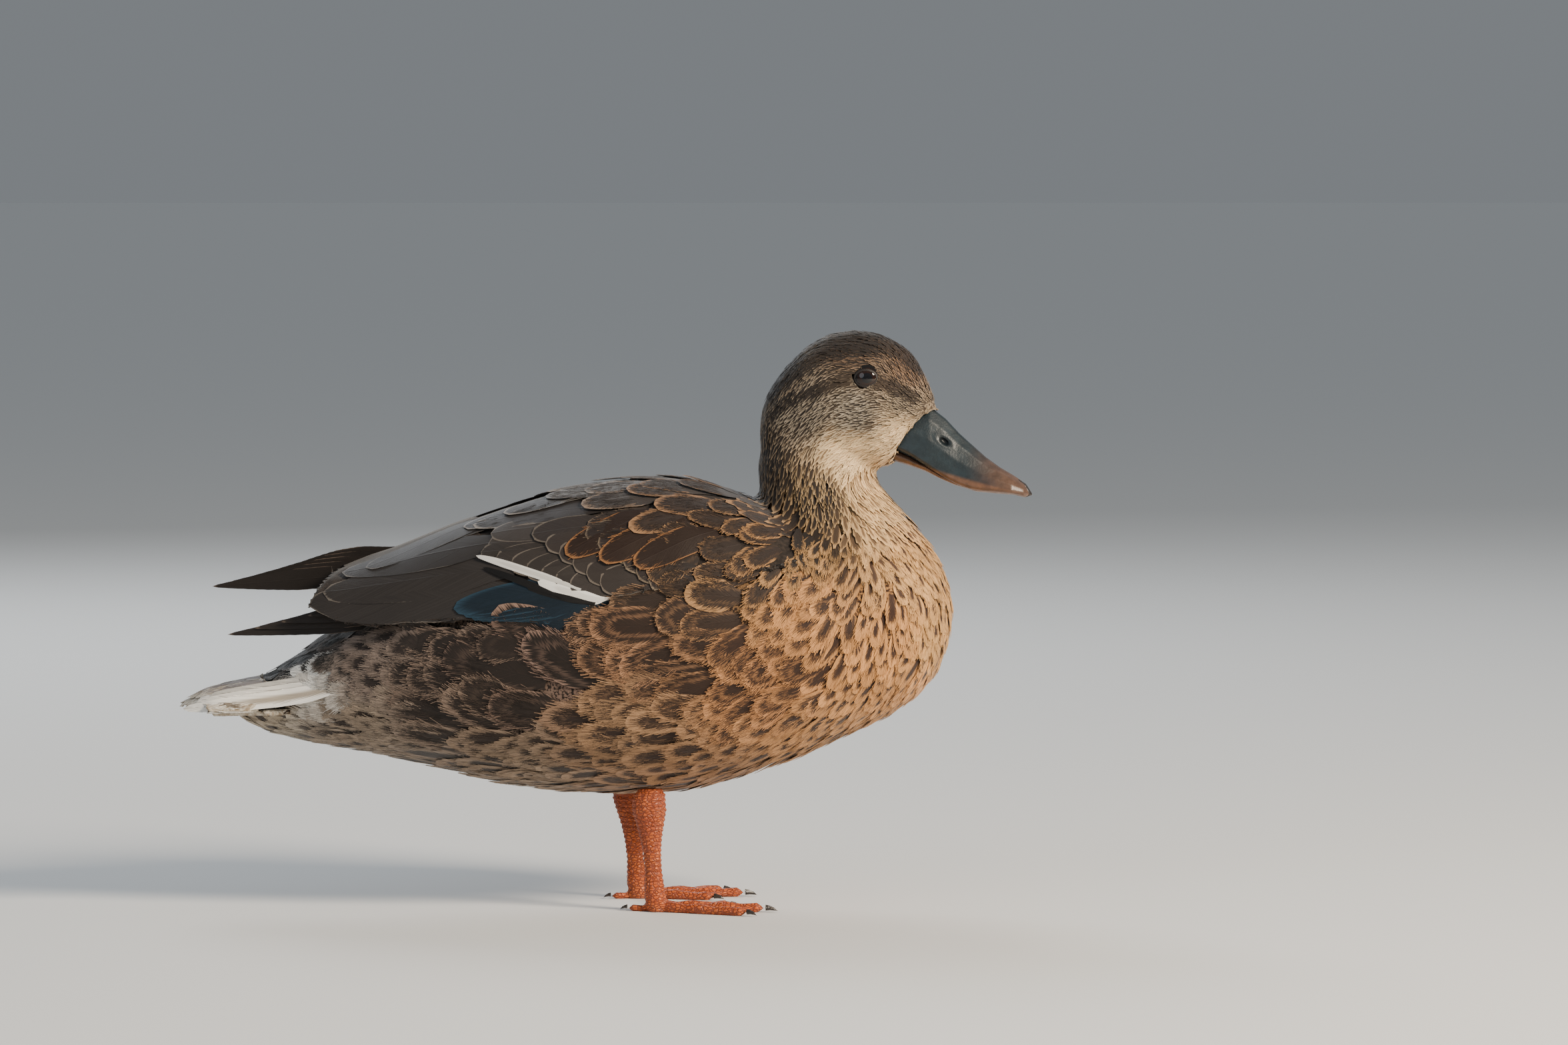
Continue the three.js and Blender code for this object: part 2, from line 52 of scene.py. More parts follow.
# ---------- Camera, floor and light ----------
PHOTO = (2352, 1568)
PIXEL = 0.28  # millimetres of the bird that a pixel of the photo spans
DISTANCE = 3000.0
EYE_LEVEL = math.radians(6)  # the camera looks down this much at the feet
FEET_AT = (907, 1357)  # the pixel under the middle of the bird, on the floor


def add_camera():
    down = np.array([0, math.cos(EYE_LEVEL), -math.sin(EYE_LEVEL)])
    up = np.array([0, math.sin(EYE_LEVEL), math.cos(EYE_LEVEL)])
    aim = down * DISTANCE
    aim[0] += (PHOTO[0] / 2 - FEET_AT[0]) * PIXEL
    aim += up * (FEET_AT[1] - PHOTO[1] / 2) * PIXEL
    camera = bpy.data.objects.new("camera", bpy.data.cameras.new("camera"))
    camera.location = Vector(-down * DISTANCE * MM)
    camera.rotation_euler = Vector(aim).to_track_quat("-Z", "Y").to_euler()
    camera.data.sensor_width = 36
    camera.data.lens = 36 * DISTANCE / (PHOTO[0] * PIXEL)
    camera.data.clip_end = 50
    bpy.context.scene.collection.objects.link(camera)
    bpy.context.scene.camera = camera


def add_light(name, place, size, power, colour):
    data = bpy.data.lights.new(name, "AREA")
    data.shape = "DISK"
    data.size = size
    data.energy = power
    data.color = colour
    light = bpy.data.objects.new(name, data)
    light.location = place
    light.rotation_euler = (Vector((0, 0, 0.12)) - Vector(place)).to_track_quat("-Z", "Y").to_euler()
    bpy.context.scene.collection.objects.link(light)


def add_stage():
    bpy.ops.mesh.primitive_plane_add(size=90)
    floor = bpy.context.object
    floor.name = "floor"
    material = bpy.data.materials.new("floor")
    material.use_nodes = True
    shader = material.node_tree.nodes["Principled BSDF"]
    shader.inputs["Base Color"].default_value = (0.72, 0.72, 0.71, 1)
    shader.inputs["Roughness"].default_value = 0.9
    floor.data.materials.append(material)
    world = bpy.data.worlds.new("studio")
    world.use_nodes = True
    tree = world.node_tree
    height = tree.nodes.new("ShaderNodeSeparateXYZ")
    tree.links.new(tree.nodes.new("ShaderNodeTexCoord").outputs["Generated"], height.inputs[0])
    sky = tree.nodes.new("ShaderNodeValToRGB")
    sky.color_ramp.interpolation = "EASE"
    sky.color_ramp.elements[0].color = (0.60, 0.645, 0.69, 1)  # what the far floor sends back
    sky.color_ramp.elements[1].color = (0.86, 0.93, 1, 1)
    sky.color_ramp.elements[1].position = 0.4
    tree.links.new(height.outputs[2], sky.inputs[0])
    tree.links.new(sky.outputs[0], tree.nodes["Background"].inputs["Color"])
    tree.nodes["Background"].inputs["Strength"].default_value = 0.33
    bpy.context.scene.world = world
    add_light("key", (1.6, -1.2, 1.25), 0.7, 92, (1, 0.87, 0.7))
    add_light("fill", (-1.6, -1.8, 1.0), 1.6, 11, (0.82, 0.91, 1))
    add_light("rim", (-0.6, 1.9, 1.5), 1.2, 26, (0.9, 0.95, 1))


add_camera()
add_stage()


# ---------- Numbers ----------
def unit(v):
    return v / np.maximum(np.linalg.norm(v, axis=-1, keepdims=True), 1e-9)


def step(low, high, v):
    """0 below low, 1 above high, smooth between."""
    t = np.clip((v - low) / (high - low), 0, 1)
    return t * t * (3 - 2 * t)


def linear(code):
    """A colour written as in a picture editor, as linear light."""
    c = np.array([int(code[i:i + 2], 16) / 255 for i in (1, 3, 5)])
    return np.where(c <= 0.04045, c / 12.92, ((c + 0.055) / 1.055) ** 2.4)


def away(points, line):
    """Distance in side view from each point to a line of (x, z) corners."""
    p = points[:, [0, 2]]
    best = np.full(len(p), 1e9)
    for a, b in zip(line[:-1], line[1:]):
        a, b = np.array(a, float), np.array(b, float)
        t = np.clip((p - a) @ (b - a) / ((b - a) @ (b - a)), 0, 1)
        best = np.minimum(best, np.linalg.norm(p - a - t[:, None] * (b - a), axis=1))
    return best


def unturned(points):
    """Points of the head as they would be if it looked straight ahead."""
    c, s = math.cos(-HEAD_TURN), math.sin(-HEAD_TURN)
    q = points - NECK_AXIS
    return np.stack([q[:, 0] * c - q[:, 1] * s, q[:, 0] * s + q[:, 1] * c, q[:, 2]], 1) + NECK_AXIS


# ---------- Meshes ----------
def mesh_arrays(mesh):
    co = np.empty(len(mesh.vertices) * 3)
    mesh.vertices.foreach_get("co", co)
    mesh.calc_loop_triangles()
    tri = np.empty(len(mesh.loop_triangles) * 3, int)
    mesh.loop_triangles.foreach_get("vertices", tri)
    return co.reshape(-1, 3) / MM, tri.reshape(-1, 3)


def make_mesh(name, co, faces, attributes=None, uv=None, smooth=True):
    """A mesh from millimetre points and triangles, with point attributes and one UV map."""
    mesh = bpy.data.meshes.new(name)
    mesh.vertices.add(len(co))
    mesh.vertices.foreach_set("co", (co * MM).ravel())
    mesh.loops.add(faces.size)
    mesh.loops.foreach_set("vertex_index", faces.ravel().astype(np.int32))
    mesh.polygons.add(len(faces))
    mesh.polygons.foreach_set("loop_start", np.arange(len(faces), dtype=np.int32) * faces.shape[1])
    mesh.polygons.foreach_set("use_smooth", np.full(len(faces), smooth))
    mesh.update(calc_edges=True)
    for key, values in (attributes or {}).items():
        attribute = mesh.attributes.new(key, "FLOAT_VECTOR", "POINT")
        attribute.data.foreach_set("vector", values.astype(np.float32).ravel())
    if uv is not None:
        layer = mesh.uv_layers.new(name="OFBake")
        layer.data.foreach_set("uv", uv[faces.ravel()].astype(np.float32).ravel())
    return mesh


def add_piece(name, mesh, material, replaced=()):
    piece = bpy.data.objects.new(name, mesh)
    bpy.context.scene.collection.objects.link(piece)
    mesh.materials.clear()
    mesh.materials.append(material)
    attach(piece, "root")
    if replaced:
        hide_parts(*replaced)
    return piece


def merged_form(nodes, voxel, rounds):
    """The named CAD nodes as one smooth closed surface: (points, triangles)."""
    co, tri, start = [], [], 0
    for node in nodes:
        c, t = mesh_arrays(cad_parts[node].data)
        co.append(c)
        tri.append(t + start)
        start += len(c)
    shape = bpy.data.objects.new("form", make_mesh("form", np.concatenate(co), np.concatenate(tri)))
    bpy.context.scene.collection.objects.link(shape)
    remesh = shape.modifiers.new("remesh", "REMESH")
    remesh.mode = "VOXEL"
    remesh.voxel_size = voxel * MM
    smooth = shape.modifiers.new("smooth", "SMOOTH")
    smooth.factor = 0.5
    smooth.iterations = rounds
    bpy.context.view_layer.update()
    ready = bpy.data.meshes.new_from_object(shape.evaluated_get(bpy.context.evaluated_depsgraph_get()))
    arrays = mesh_arrays(ready)
    bpy.data.objects.remove(shape)
    return arrays


def point_normals(co, tri):
    across = np.cross(co[tri[:, 1]] - co[tri[:, 0]], co[tri[:, 2]] - co[tri[:, 0]])
    total = np.zeros_like(co)
    for corner in range(3):
        np.add.at(total, tri[:, corner], across)
    return unit(total)


class Surface:
    """A closed surface that feathers are laid over."""

    def __init__(self, co, tri):
        self.co, self.tri = co, tri
        self.tree = BVHTree.FromPolygons(co.tolist(), tri.tolist())
        self.normals = unit(point_normals(co, tri)[tri].sum(1))

    def nearest(self, points):
        found = [self.tree.find_nearest(p)[::2] for p in points.tolist()]
        return (np.array([f[0] for f in found]),
                self.normals[[f[1] for f in found]])

    def distance(self, points):
        return np.array([self.tree.find_nearest(p)[3] for p in points.tolist()])

    def outer(self, x, z, side):
        """The surface's y and normal at (x, z), seen from one side; y is NaN past its edge."""
        y, normal = np.full(len(x), np.nan), np.tile([0.0, side, 0.0], (len(x), 1))
        for i, (px, pz) in enumerate(zip(x, z)):
            spot, _, face, _ = self.tree.ray_cast((px, side * 200, pz), (0, -side, 0))
            if spot is not None and spot.y * side > -2:
                y[i], normal[i] = spot.y, self.normals[face]
        return y, normal

    def scatter(self, density):
        """Random points, so many to a square millimetre."""
        a, b, c = (self.co[self.tri[:, i]] for i in range(3))
        area = np.linalg.norm(np.cross(b - a, c - a), axis=1) / 2
        count = int(area.sum() * density)
        face = RNG.choice(len(area), count, p=area / area.sum())
        u, v = RNG.random((2, count, 1))
        flip = u + v > 1
        u, v = np.where(flip, 1 - u, u), np.where(flip, 1 - v, v)
        return a[face] + u * (b - a)[face] + v * (c - a)[face]


def spread(points, spacing):
    """Thins random points until each keeps its own spacing from the others."""
    tree = KDTree(len(points))
    for i, p in enumerate(points.tolist()):
        tree.insert(p, i)
    tree.balance()
    kept, gone = [], np.zeros(len(points), bool)
    for i in range(len(points)):
        if gone[i]:
            continue
        kept.append(i)
        for _, j, _ in tree.find_range(points[i].tolist(), spacing[i]):
            gone[j] = True
    return np.array(kept)


# ---------- Vanes ----------
def vane_faces(k):
    """Triangles of one closed vane: k + 1 points down its shaft, then 2k on each of its edges."""
    left, right = k + 1, 3 * k + 1
    faces = []
    for i in range(k):
        for first, order in ((left, 1), (right, -1)):
            e = first + 2 * i
            side = [(i, e + 1, e), (i, i + 1, e + 1)]
            if i < k - 1:
                side.append((i + 1, e + 2, e + 1))
            faces += [f[::order] for f in side]
    for j in range(2 * k - 1):
        faces.append((left + j, left + j + 1, right + j))
        faces.append((right + j, left + j + 1, right + j + 1))
    faces.append((left + 2 * k - 1, k, right + 2 * k - 1))
    faces.append((0, left, right))
    return np.array(faces)


SPINE = np.array([(-180, 84), (-100, 102), (0, 108), (62, 118), (90, 150), (92, 190), (104, 212),
                  (140, 204)], float)  # the middle of the bird in side view, tail to bill


def unwrap(points):
    """The skin opened flat: how far along the bird's middle, and the angle about it."""
    run = np.r_[0, np.cumsum(np.linalg.norm(np.diff(SPINE, axis=0), axis=1))]
    best = np.full(len(points), 1e9)
    along, angle = np.zeros(len(points)), np.zeros(len(points))
    for i, (a, b) in enumerate(zip(SPINE[:-1], SPINE[1:])):
        way = (b - a) / np.linalg.norm(b - a)
        off = points[:, [0, 2]] - a
        t = np.clip(off @ way, 0, run[i + 1] - run[i])
        gap = off - t[:, None] * way
        far = np.linalg.norm(gap, axis=1)
        near = far < best
        rise = gap @ np.array([-way[1], way[0]])
        best = np.where(near, far, best)
        along = np.where(near, (run[i] + t) / run[-1], along)
        angle = np.where(near, np.arctan2(points[:, 1], rise) / math.tau + 0.5, angle)
    return np.stack([0.01 + 0.98 * along, 0.01 + 0.98 * angle], 1)


def tangent(v, normal):
    return unit(v - (v * normal).sum(-1, keepdims=True) * normal)


def march(surface, root, aim, length, k, goal=None, bend=None):
    """Walks each shaft over the surface: points, normals and headings at k + 1 stations."""
    place, normal = surface.nearest(root)
    heading = tangent(aim, normal)
    walk = [(place, normal, heading)]
    for i in range(k):
        guess = place + heading * (length / k)[:, None]
        place, normal = surface.nearest(guess)
        if goal is not None and i < k - 1:
            heading = unit(heading + 0.8 * unit(goal - place))
        if bend is not None:
            heading = heading + np.cross(normal, heading) * (bend / k)[:, None]
        heading = tangent(heading, normal)
        walk.append((place, normal, heading))
    return [np.stack(part, 1) for part in zip(*walk)]


def outline(s, blunt):
    """Half the width of a vane at s along it, as a share of its widest."""
    base = 0.42 + 0.58 * step(0, 0.38, s)
    taper = 0.5 if blunt > 1.4 else 0.9
    return base * np.maximum(1 - np.maximum((s - 0.5) / 0.52, 0) ** blunt, 0.02) ** taper


def vanes(walk, style, k, surface=None, blunt=2.0, crown=0.3, patch=0.003):
    """Closed vanes down the walked shafts. With a surface, their edges are laid on it too."""
    place, normal, heading = walk
    n = len(place)
    length, width = style["length"], style["width"]
    base = np.linspace(0.0, 0.965, 2 * k)
    tooth = np.where(np.arange(2 * k) % 2 == 1, 1.0, -0.8)
    wild = RNG.uniform(0.35, 1, (n, 2, 2 * k)) * style["fray"][:, None, None]
    rim_s = base + 0.5 * tooth * wild * (width / length)[:, None, None] * (tooth > 0)
    rim_u = outline(base, blunt) * (1 + 0.5 * tooth * wild)
    sign = np.array([1.0, -1.0])[None, :, None]
    at = np.clip(np.floor(rim_s * k).astype(int), 0, k - 1)
    part = (rim_s * k - at)[..., None]
    who = np.arange(n)[:, None, None]

    def along(values):
        return values[who, at] * (1 - part) + values[who, at + 1] * part

    up = unit(along(normal))
    spot = along(place) + np.cross(up, unit(along(heading))) * (
        sign * rim_u * width[:, None, None] / 2)[..., None]
    if surface is not None:
        flat, up = surface.nearest(spot.reshape(-1, 3))
        spot, up = flat.reshape(spot.shape), up.reshape(spot.shape)
    low, high = style["lift"][:, 0, None, None], style["lift"][:, 1, None, None]
    spot = spot + up * (low + (high - low) * rim_s)[..., None]
    s = np.linspace(0, 1, k + 1)
    rise = style["lift"][:, :1] * (1 - s) + style["lift"][:, 1:] * s
    shaft = place + normal * (rise + crown * (1 - 0.7 * s))[..., None]
    co = np.concatenate([shaft, spot[:, 0], spot[:, 1]], 1)
    size = 5 * k + 1
    u = np.concatenate([np.zeros((n, k + 1)), rim_u[:, 0], -rim_u[:, 1]], 1)
    v = np.concatenate([np.tile(s, (n, 1)), rim_s[:, 0], rim_s[:, 1]], 1)
    seed = np.repeat(RNG.random(n)[:, None], size, 1)
    uv = unwrap(place[:, 0])[:, None] + patch * np.stack([0.5 * u, v - 0.5], -1)
    faces = vane_faces(k)[None] + (np.arange(n) * size)[:, None, None]
    return {
        "co": co.reshape(-1, 3), "faces": faces.reshape(-1, 3), "uv": uv.reshape(-1, 2),
        "feather": np.stack([u, v, seed], -1).reshape(-1, 3),
        "pale": np.repeat(style["pale"], size, 0), "dark": np.repeat(style["dark"], size, 0),
        "pattern": np.repeat(style["pattern"], size, 0), "each": len(faces[0]), "size": size,
    }


COAT_LIMIT = 180000  # triangles in one piece


def crease_rims(mesh, size):
    """Marks the rim of every vane sharp, so that its top shades apart from its underside."""
    k = (size - 1) // 5
    left, right, end = k + 1, 3 * k + 1, size
    pair = np.empty(len(mesh.edges) * 2, np.int32)
    mesh.edges.foreach_get("vertices", pair)
    pair = np.sort(pair.reshape(-1, 2) % size, axis=1)
    a, b = pair.T
    rim = (b == a + 1) & (a >= left) & (a != right - 1)
    rim |= (a == 0) & ((b == left) | (b == right))
    rim |= (a == k) & ((b == right - 1) | (b == end - 1))
    sharp = mesh.attributes.new("sharp_edge", "BOOLEAN", "EDGE")
    sharp.data.foreach_set("value", rim)


def coat(name, made, material, replaced=()):
    """Pieces of plumage from laid vanes, each below the limit."""
    share = COAT_LIMIT // made["each"]
    count = len(made["faces"]) // made["each"]
    pieces = max(1, math.ceil(count / share))
    for i in range(pieces):
        first, last = count * i // pieces, count * (i + 1) // pieces
        rows = slice(first * made["size"], last * made["size"])
        faces = made["faces"][first * made["each"]:last * made["each"]] - first * made["size"]
        extra = {key: made[key][rows] for key in ("feather", "pale", "dark", "pattern")}
        mesh = make_mesh(f"{name}_{i + 1}", made["co"][rows], faces, extra, made["uv"][rows])
        crease_rims(mesh, made["size"])
        add_piece(f"{name}_{i + 1}", mesh, material, replaced)


# ---------- Plumage material ----------
def node(tree, kind, **values):
    made = tree.nodes.new(kind)
    for key, value in values.items():
        setattr(made, key, value)
    return made


def maths(tree, operation, *inputs):
    made = node(tree, "ShaderNodeMath", operation=operation)
    for i, value in enumerate(inputs):
        if isinstance(value, (int, float)):
            made.inputs[i].default_value = value
        else:
            tree.links.new(value, made.inputs[i])
    return made.outputs[0]


def soft_step(tree, value, low, high, start=0.0, end=1.0):
    made = node(tree, "ShaderNodeMapRange", interpolation_type="SMOOTHSTEP")
    for i, entry in enumerate((value, low, high, start, end)):
        if isinstance(entry, (int, float)):
            made.inputs[i].default_value = entry
        else:
            tree.links.new(entry, made.inputs[i])
    return made.outputs[0]


def blend(tree, amount, first, second, mode="MIX"):
    made = node(tree, "ShaderNodeMix", data_type="RGBA", blend_type=mode)
    for socket, entry in ((made.inputs[0], amount), (made.inputs[6], first), (made.inputs[7], second)):
        if isinstance(entry, (int, float)):
            socket.default_value = entry
        elif isinstance(entry, tuple):
            socket.default_value = entry
        else:
            tree.links.new(entry, socket)
    return made.outputs[2]


def attribute(tree, name):
    return node(tree, "ShaderNodeAttribute", attribute_name=name).outputs["Vector"]


def noise(tree, vector, scale, detail=2.0, roughness=0.55):
    made = node(tree, "ShaderNodeTexNoise")
    made.inputs["Scale"].default_value = scale
    made.inputs["Detail"].default_value = detail
    made.inputs["Roughness"].default_value = roughness
    tree.links.new(vector, made.inputs["Vector"])
    return made.outputs["Fac"]


def new_material(name, roughness, sheen=0.0, specular=0.5, coat_weight=0.0):
    material = bpy.data.materials.new(name)
    material.use_nodes = True
    shader = material.node_tree.nodes["Principled BSDF"]
    shader.inputs["Roughness"].default_value = roughness
    shader.inputs["Sheen Weight"].default_value = sheen
    shader.inputs["Specular IOR Level"].default_value = specular
    shader.inputs["Coat Weight"].default_value = coat_weight
    return material, material.node_tree, shader


def bump(tree, shader, height, strength, distance):
    made = node(tree, "ShaderNodeBump")
    made.inputs["Strength"].default_value = strength
    made.inputs["Distance"].default_value = distance
    tree.links.new(height, made.inputs["Height"])
    tree.links.new(made.outputs["Normal"], shader.inputs["Normal"])


def plumage_material(name, roughness, sheen, barbs, relief, rag, slant):
    """Dark centre, pale fringe, U mark within it, shaft line and fine barbs, from attributes.

    A U mark below 0 is a pale tip instead, of that share of the length.
    """
    material, tree, shader = new_material(name, roughness, sheen, 0.22)
    split = node(tree, "ShaderNodeSeparateXYZ")
    tree.links.new(attribute(tree, "feather"), split.inputs[0])
    u, v, seed = split.outputs
    pattern = node(tree, "ShaderNodeSeparateXYZ")
    tree.links.new(attribute(tree, "pattern"), pattern.inputs[0])
    centre, bars, crisp = pattern.outputs
    across = maths(tree, "ABSOLUTE", u)
    barb = maths(tree, "SUBTRACT", v, maths(tree, "MULTIPLY", across, slant))
    streak_at = node(tree, "ShaderNodeCombineXYZ")
    tree.links.new(maths(tree, "MULTIPLY", barb, barbs), streak_at.inputs[0])
    tree.links.new(maths(tree, "MULTIPLY", seed, 97.0), streak_at.inputs[1])
    tree.links.new(maths(tree, "SIGN", u), streak_at.inputs[2])
    streak = noise(tree, streak_at.outputs[0], 1.0, 3.0, 0.7)
    past = maths(tree, "MAXIMUM", maths(tree, "SUBTRACT", v, 0.55), 0.0)
    reach = maths(tree, "DIVIDE", past, 0.45)
    q = maths(tree, "SQRT", maths(tree, "ADD", maths(tree, "MULTIPLY", u, u),
                                  maths(tree, "MULTIPLY", reach, reach)))
    ragged = maths(tree, "MULTIPLY", maths(tree, "SUBTRACT", streak, 0.5), rag)
    q = maths(tree, "ADD", q, ragged)
    inner = maths(tree, "SUBTRACT", centre, crisp)
    outer = maths(tree, "ADD", centre, crisp)
    mask = soft_step(tree, q, inner, outer, 1.0, 0.0)
    u_from = maths(tree, "MULTIPLY", centre, 0.42)
    u_to = maths(tree, "MULTIPLY", centre, 0.56)
    u_end = maths(tree, "MULTIPLY", centre, 0.74)
    band = maths(tree, "MULTIPLY", soft_step(tree, q, u_from, u_to),
                 soft_step(tree, q, u_to, u_end, 1.0, 0.0))
    marked = maths(tree, "MAXIMUM", bars, 0.0)
    mask = maths(tree, "SUBTRACT", mask, maths(tree, "MULTIPLY", band, marked))
    tip = soft_step(tree, maths(tree, "SUBTRACT", v, bars), 0.985, 1.015, 1.0, 0.0)
    mask = maths(tree, "MULTIPLY", maths(tree, "MAXIMUM", mask, 0.0), tip)
    colour = blend(tree, mask, attribute(tree, "pale"), attribute(tree, "dark"))
    tone = soft_step(tree, streak, 0.25, 0.75, 0.74, 1.2)
    each = soft_step(tree, seed, 0.0, 1.0, 0.86, 1.12)
    shade = maths(tree, "MULTIPLY", tone, each)
    shade_colour = node(tree, "ShaderNodeCombineXYZ")
    for socket in shade_colour.inputs:
        tree.links.new(shade, socket)
    colour = blend(tree, 1.0, colour, shade_colour.outputs[0], "MULTIPLY")
    shaft = soft_step(tree, across, 0.015, 0.045, 1.0, 0.0)
    colour = blend(tree, maths(tree, "MULTIPLY", shaft, 0.35), colour, attribute(tree, "dark"))
    tree.links.new(colour, shader.inputs["Base Color"])
    height = maths(tree, "ADD", streak, maths(tree, "MULTIPLY", shaft, 0.6))
    bump(tree, shader, height, relief, 0.0004)
    return material


# ---------- What grows where ----------
# Side-view places (x, z) with the lie of the feathers there in degrees (180 is straight back,
# 270 straight down), their length, width and spacing, pale and dark colours, how much of each
# is dark, how strong the U mark is, how soft the edge of the dark is, and how frayed they are.
# The colours run warmer on the breast and shoulder and darker and greyer on the neck side and towards the
# rear: partly the hen's own colours, partly painted sunlight on the front and painted shade on the neck
# and rear.
PLACES = [
    ("forehead", 129, 221, 125, 5.0, 1.2, 0.95, "#86664A", "#241913", 0.7, 0, 0.3, 0.6),
    ("crown", 108, 237, 176, 6.5, 1.3, 1.05, "#735841", "#1B1410", 0.75, 0, 0.3, 0.6),
    ("nape", 75, 224, 238, 7.5, 1.5, 1.15, "#8C7963", "#1D1510", 0.7, 0, 0.3, 0.6),
    ("lores", 127, 211, 165, 4.2, 1.1, 0.9, "#A08E76", "#2A2019", 0.56, 0, 0.3, 0.6),
    ("cheek", 108, 206, 190, 6.5, 1.25, 1.0, "#A09380", "#201812", 0.62, 0, 0.25, 0.6),
    ("chin", 126, 197, 195, 4.8, 1.2, 1.0, "#D9BC93", "#B08F68", 0.2, 0, 0.3, 0.6),
    ("throat", 106, 191, 205, 6.5, 1.4, 1.1, "#DDBF94", "#A88760", 0.2, 0, 0.3, 0.6),
    ("ear", 86, 211, 222, 7.5, 1.4, 1.1, "#9A8C79", "#1E1611", 0.68, 0, 0.25, 0.6),
    ("neck rear", 64, 190, 262, 10, 2.0, 1.55, "#8E765B", "#1A120D", 0.78, 0, 0.25, 0.6),
    ("neck side", 88, 178, 272, 9.5, 2.1, 1.7, "#A88A62", "#20160F", 0.7, 0, 0.25, 0.6),
    ("neck front", 113, 176, 300, 9.5, 2.3, 1.8, "#D8B27E", "#8A6A48", 0.32, 0, 0.25, 0.6),
    ("neck base", 82, 156, 262, 12, 3.6, 2.6, "#A07A4E", "#1B120C", 0.78, 0, 0.2, 0.6),
    ("breast top", 125, 153, 297, 12, 4.2, 3.1, "#CC9D66", "#442B1C", 0.38, 0, 0.2, 0.5),
    ("breast front", 143, 126, 276, 14, 5.2, 3.9, "#CD9C62", "#3E2618", 0.36, 0, 0.18, 0.5),
    ("breast side", 116, 122, 258, 16, 6.2, 4.3, "#C88F56", "#341E12", 0.46, 0.05, 0.16, 0.5),
    ("breast low", 132, 93, 244, 15, 5.8, 4.2, "#C88F56", "#341F13", 0.4, 0, 0.16, 0.5),
    ("breast belly", 105, 70, 214, 16, 6, 4.6, "#BE8A56", "#321E12", 0.42, 0, 0.16, 0.5),
    ("shoulder", 88, 138, 230, 19, 8.5, 5.4, "#BA8450", "#2E1B10", 0.62, 0.3, 0.16, 0.5),
    ("fore flank", 76, 108, 202, 26, 12, 7.4, "#B07C50", "#2C190E", 0.8, 0.5, 0.15, 0.6),
    ("belly", 62, 55, 190, 19, 7, 5.4, "#A87E58", "#342217", 0.46, 0, 0.16, 0.5),
    ("mid flank", 34, 114, 176, 34, 17, 10.0, "#9A7152", "#22140B", 0.92, 0.4, 0.14, 0.6),
    ("low flank", 26, 80, 178, 28, 12, 7.6, "#9A7858", "#2A1A11", 0.72, 0.25, 0.15, 0.6),
    ("rear flank", -8, 100, 162, 42, 21, 13.0, "#80675A", "#1A110C", 0.97, 0.25, 0.1, 0.6),
    ("last flank", -42, 96, 165, 40, 18, 12.0, "#7E6A5C", "#1C130E", 0.9, 0.15, 0.1, 0.6),
    ("belly rear", -20, 56, 178, 20, 7.5, 5.6, "#8E7862", "#2C2018", 0.52, 0, 0.16, 0.5),
    ("vent", -90, 74, 174, 20, 7, 5.4, "#8E7D6B", "#281D16", 0.52, 0, 0.16, 0.5),
    ("rump side", -84, 104, 180, 24, 8.5, 5.8, "#7C6C61", "#231915", 0.64, 0, 0.2, 0.6),
    ("wing edge", -40, 119, 178, 24, 12, 7.4, "#7E6A5C", "#1E1510", 0.9, 0, 0.12, 0.5),
    ("upper flank", 8, 128, 182, 26, 13, 7.8, "#8E6C52", "#22150D", 0.9, 0.2, 0.12, 0.5),
    ("under tail", -128, 80, 176, 24, 8, 5.6, "#A99A84", "#33281F", 0.5, 0, 0.15, 0.5),
    ("tail base", -124, 107, 190, 26, 11, 7.0, "#4E4239", "#0D0B09", 0.95, 0, 0.12, 0.4),
    ("tail side", -126, 96, 184, 24, 9, 6, "#5A4D43", "#0F0C0A", 0.9, 0, 0.15, 0.5),
    ("tail white", -110, 97, 183, 24, 8, 5, "#E2DDD4", "#9A8E81", 0.25, 0, 0.2, 0.5),
    ("tail root", -108, 114, 190, 26, 11, 7.0, "#544840", "#0D0B09", 0.94, 0, 0.12, 0.4),
    ("rump top", -70, 146, 196, 28, 14, 9.0, "#77624A", "#1E1611", 0.86, 0.2, 0.12, 0.2),
    ("lesser covert", 18, 148, 186, 26, 15, 10.5, "#7F6C54", "#2A211B", 0.94, 0.1, 0.05, 0.1),
    ("fore covert", 52, 142, 190, 26, 14, 9.6, "#8F6C48", "#281C15", 0.92, 0.2, 0.08, 0.15),
    ("scapular", 10, 172, 186, 42, 18, 14, "#7A6858", "#241B17", 0.96, 0, 0.05, 0.1),
    ("mantle", 50, 170, 193, 32, 16, 11.5, "#8C6848", "#231812", 0.95, 0.05, 0.06, 0.1),
    ("mantle front", 74, 158, 212, 20, 10, 6.8, "#9C7248", "#261911", 0.86, 0.1, 0.1, 0.3),
]
FIELDS = np.array([row[1:7] + row[9:13] for row in PLACES], float)
PALE = np.array([linear(row[7]) for row in PLACES])
DARK = np.array([linear(row[8]) for row in PLACES])

EYE_SPOT = (111.1, 221.4)  # middle of the eye before the head turns
APERTURE = (4.5, 3.25)  # half of what shows of the eyeball, along and up
STRIPE = [(133, 212), (122, 217.5), (111, 221.8), (98, 220.5), (84, 217), (74, 211)]
CROWN_EDGE = [(134, 219), (124, 228), (110, 231), (94, 228), (80, 222), (68, 212)]


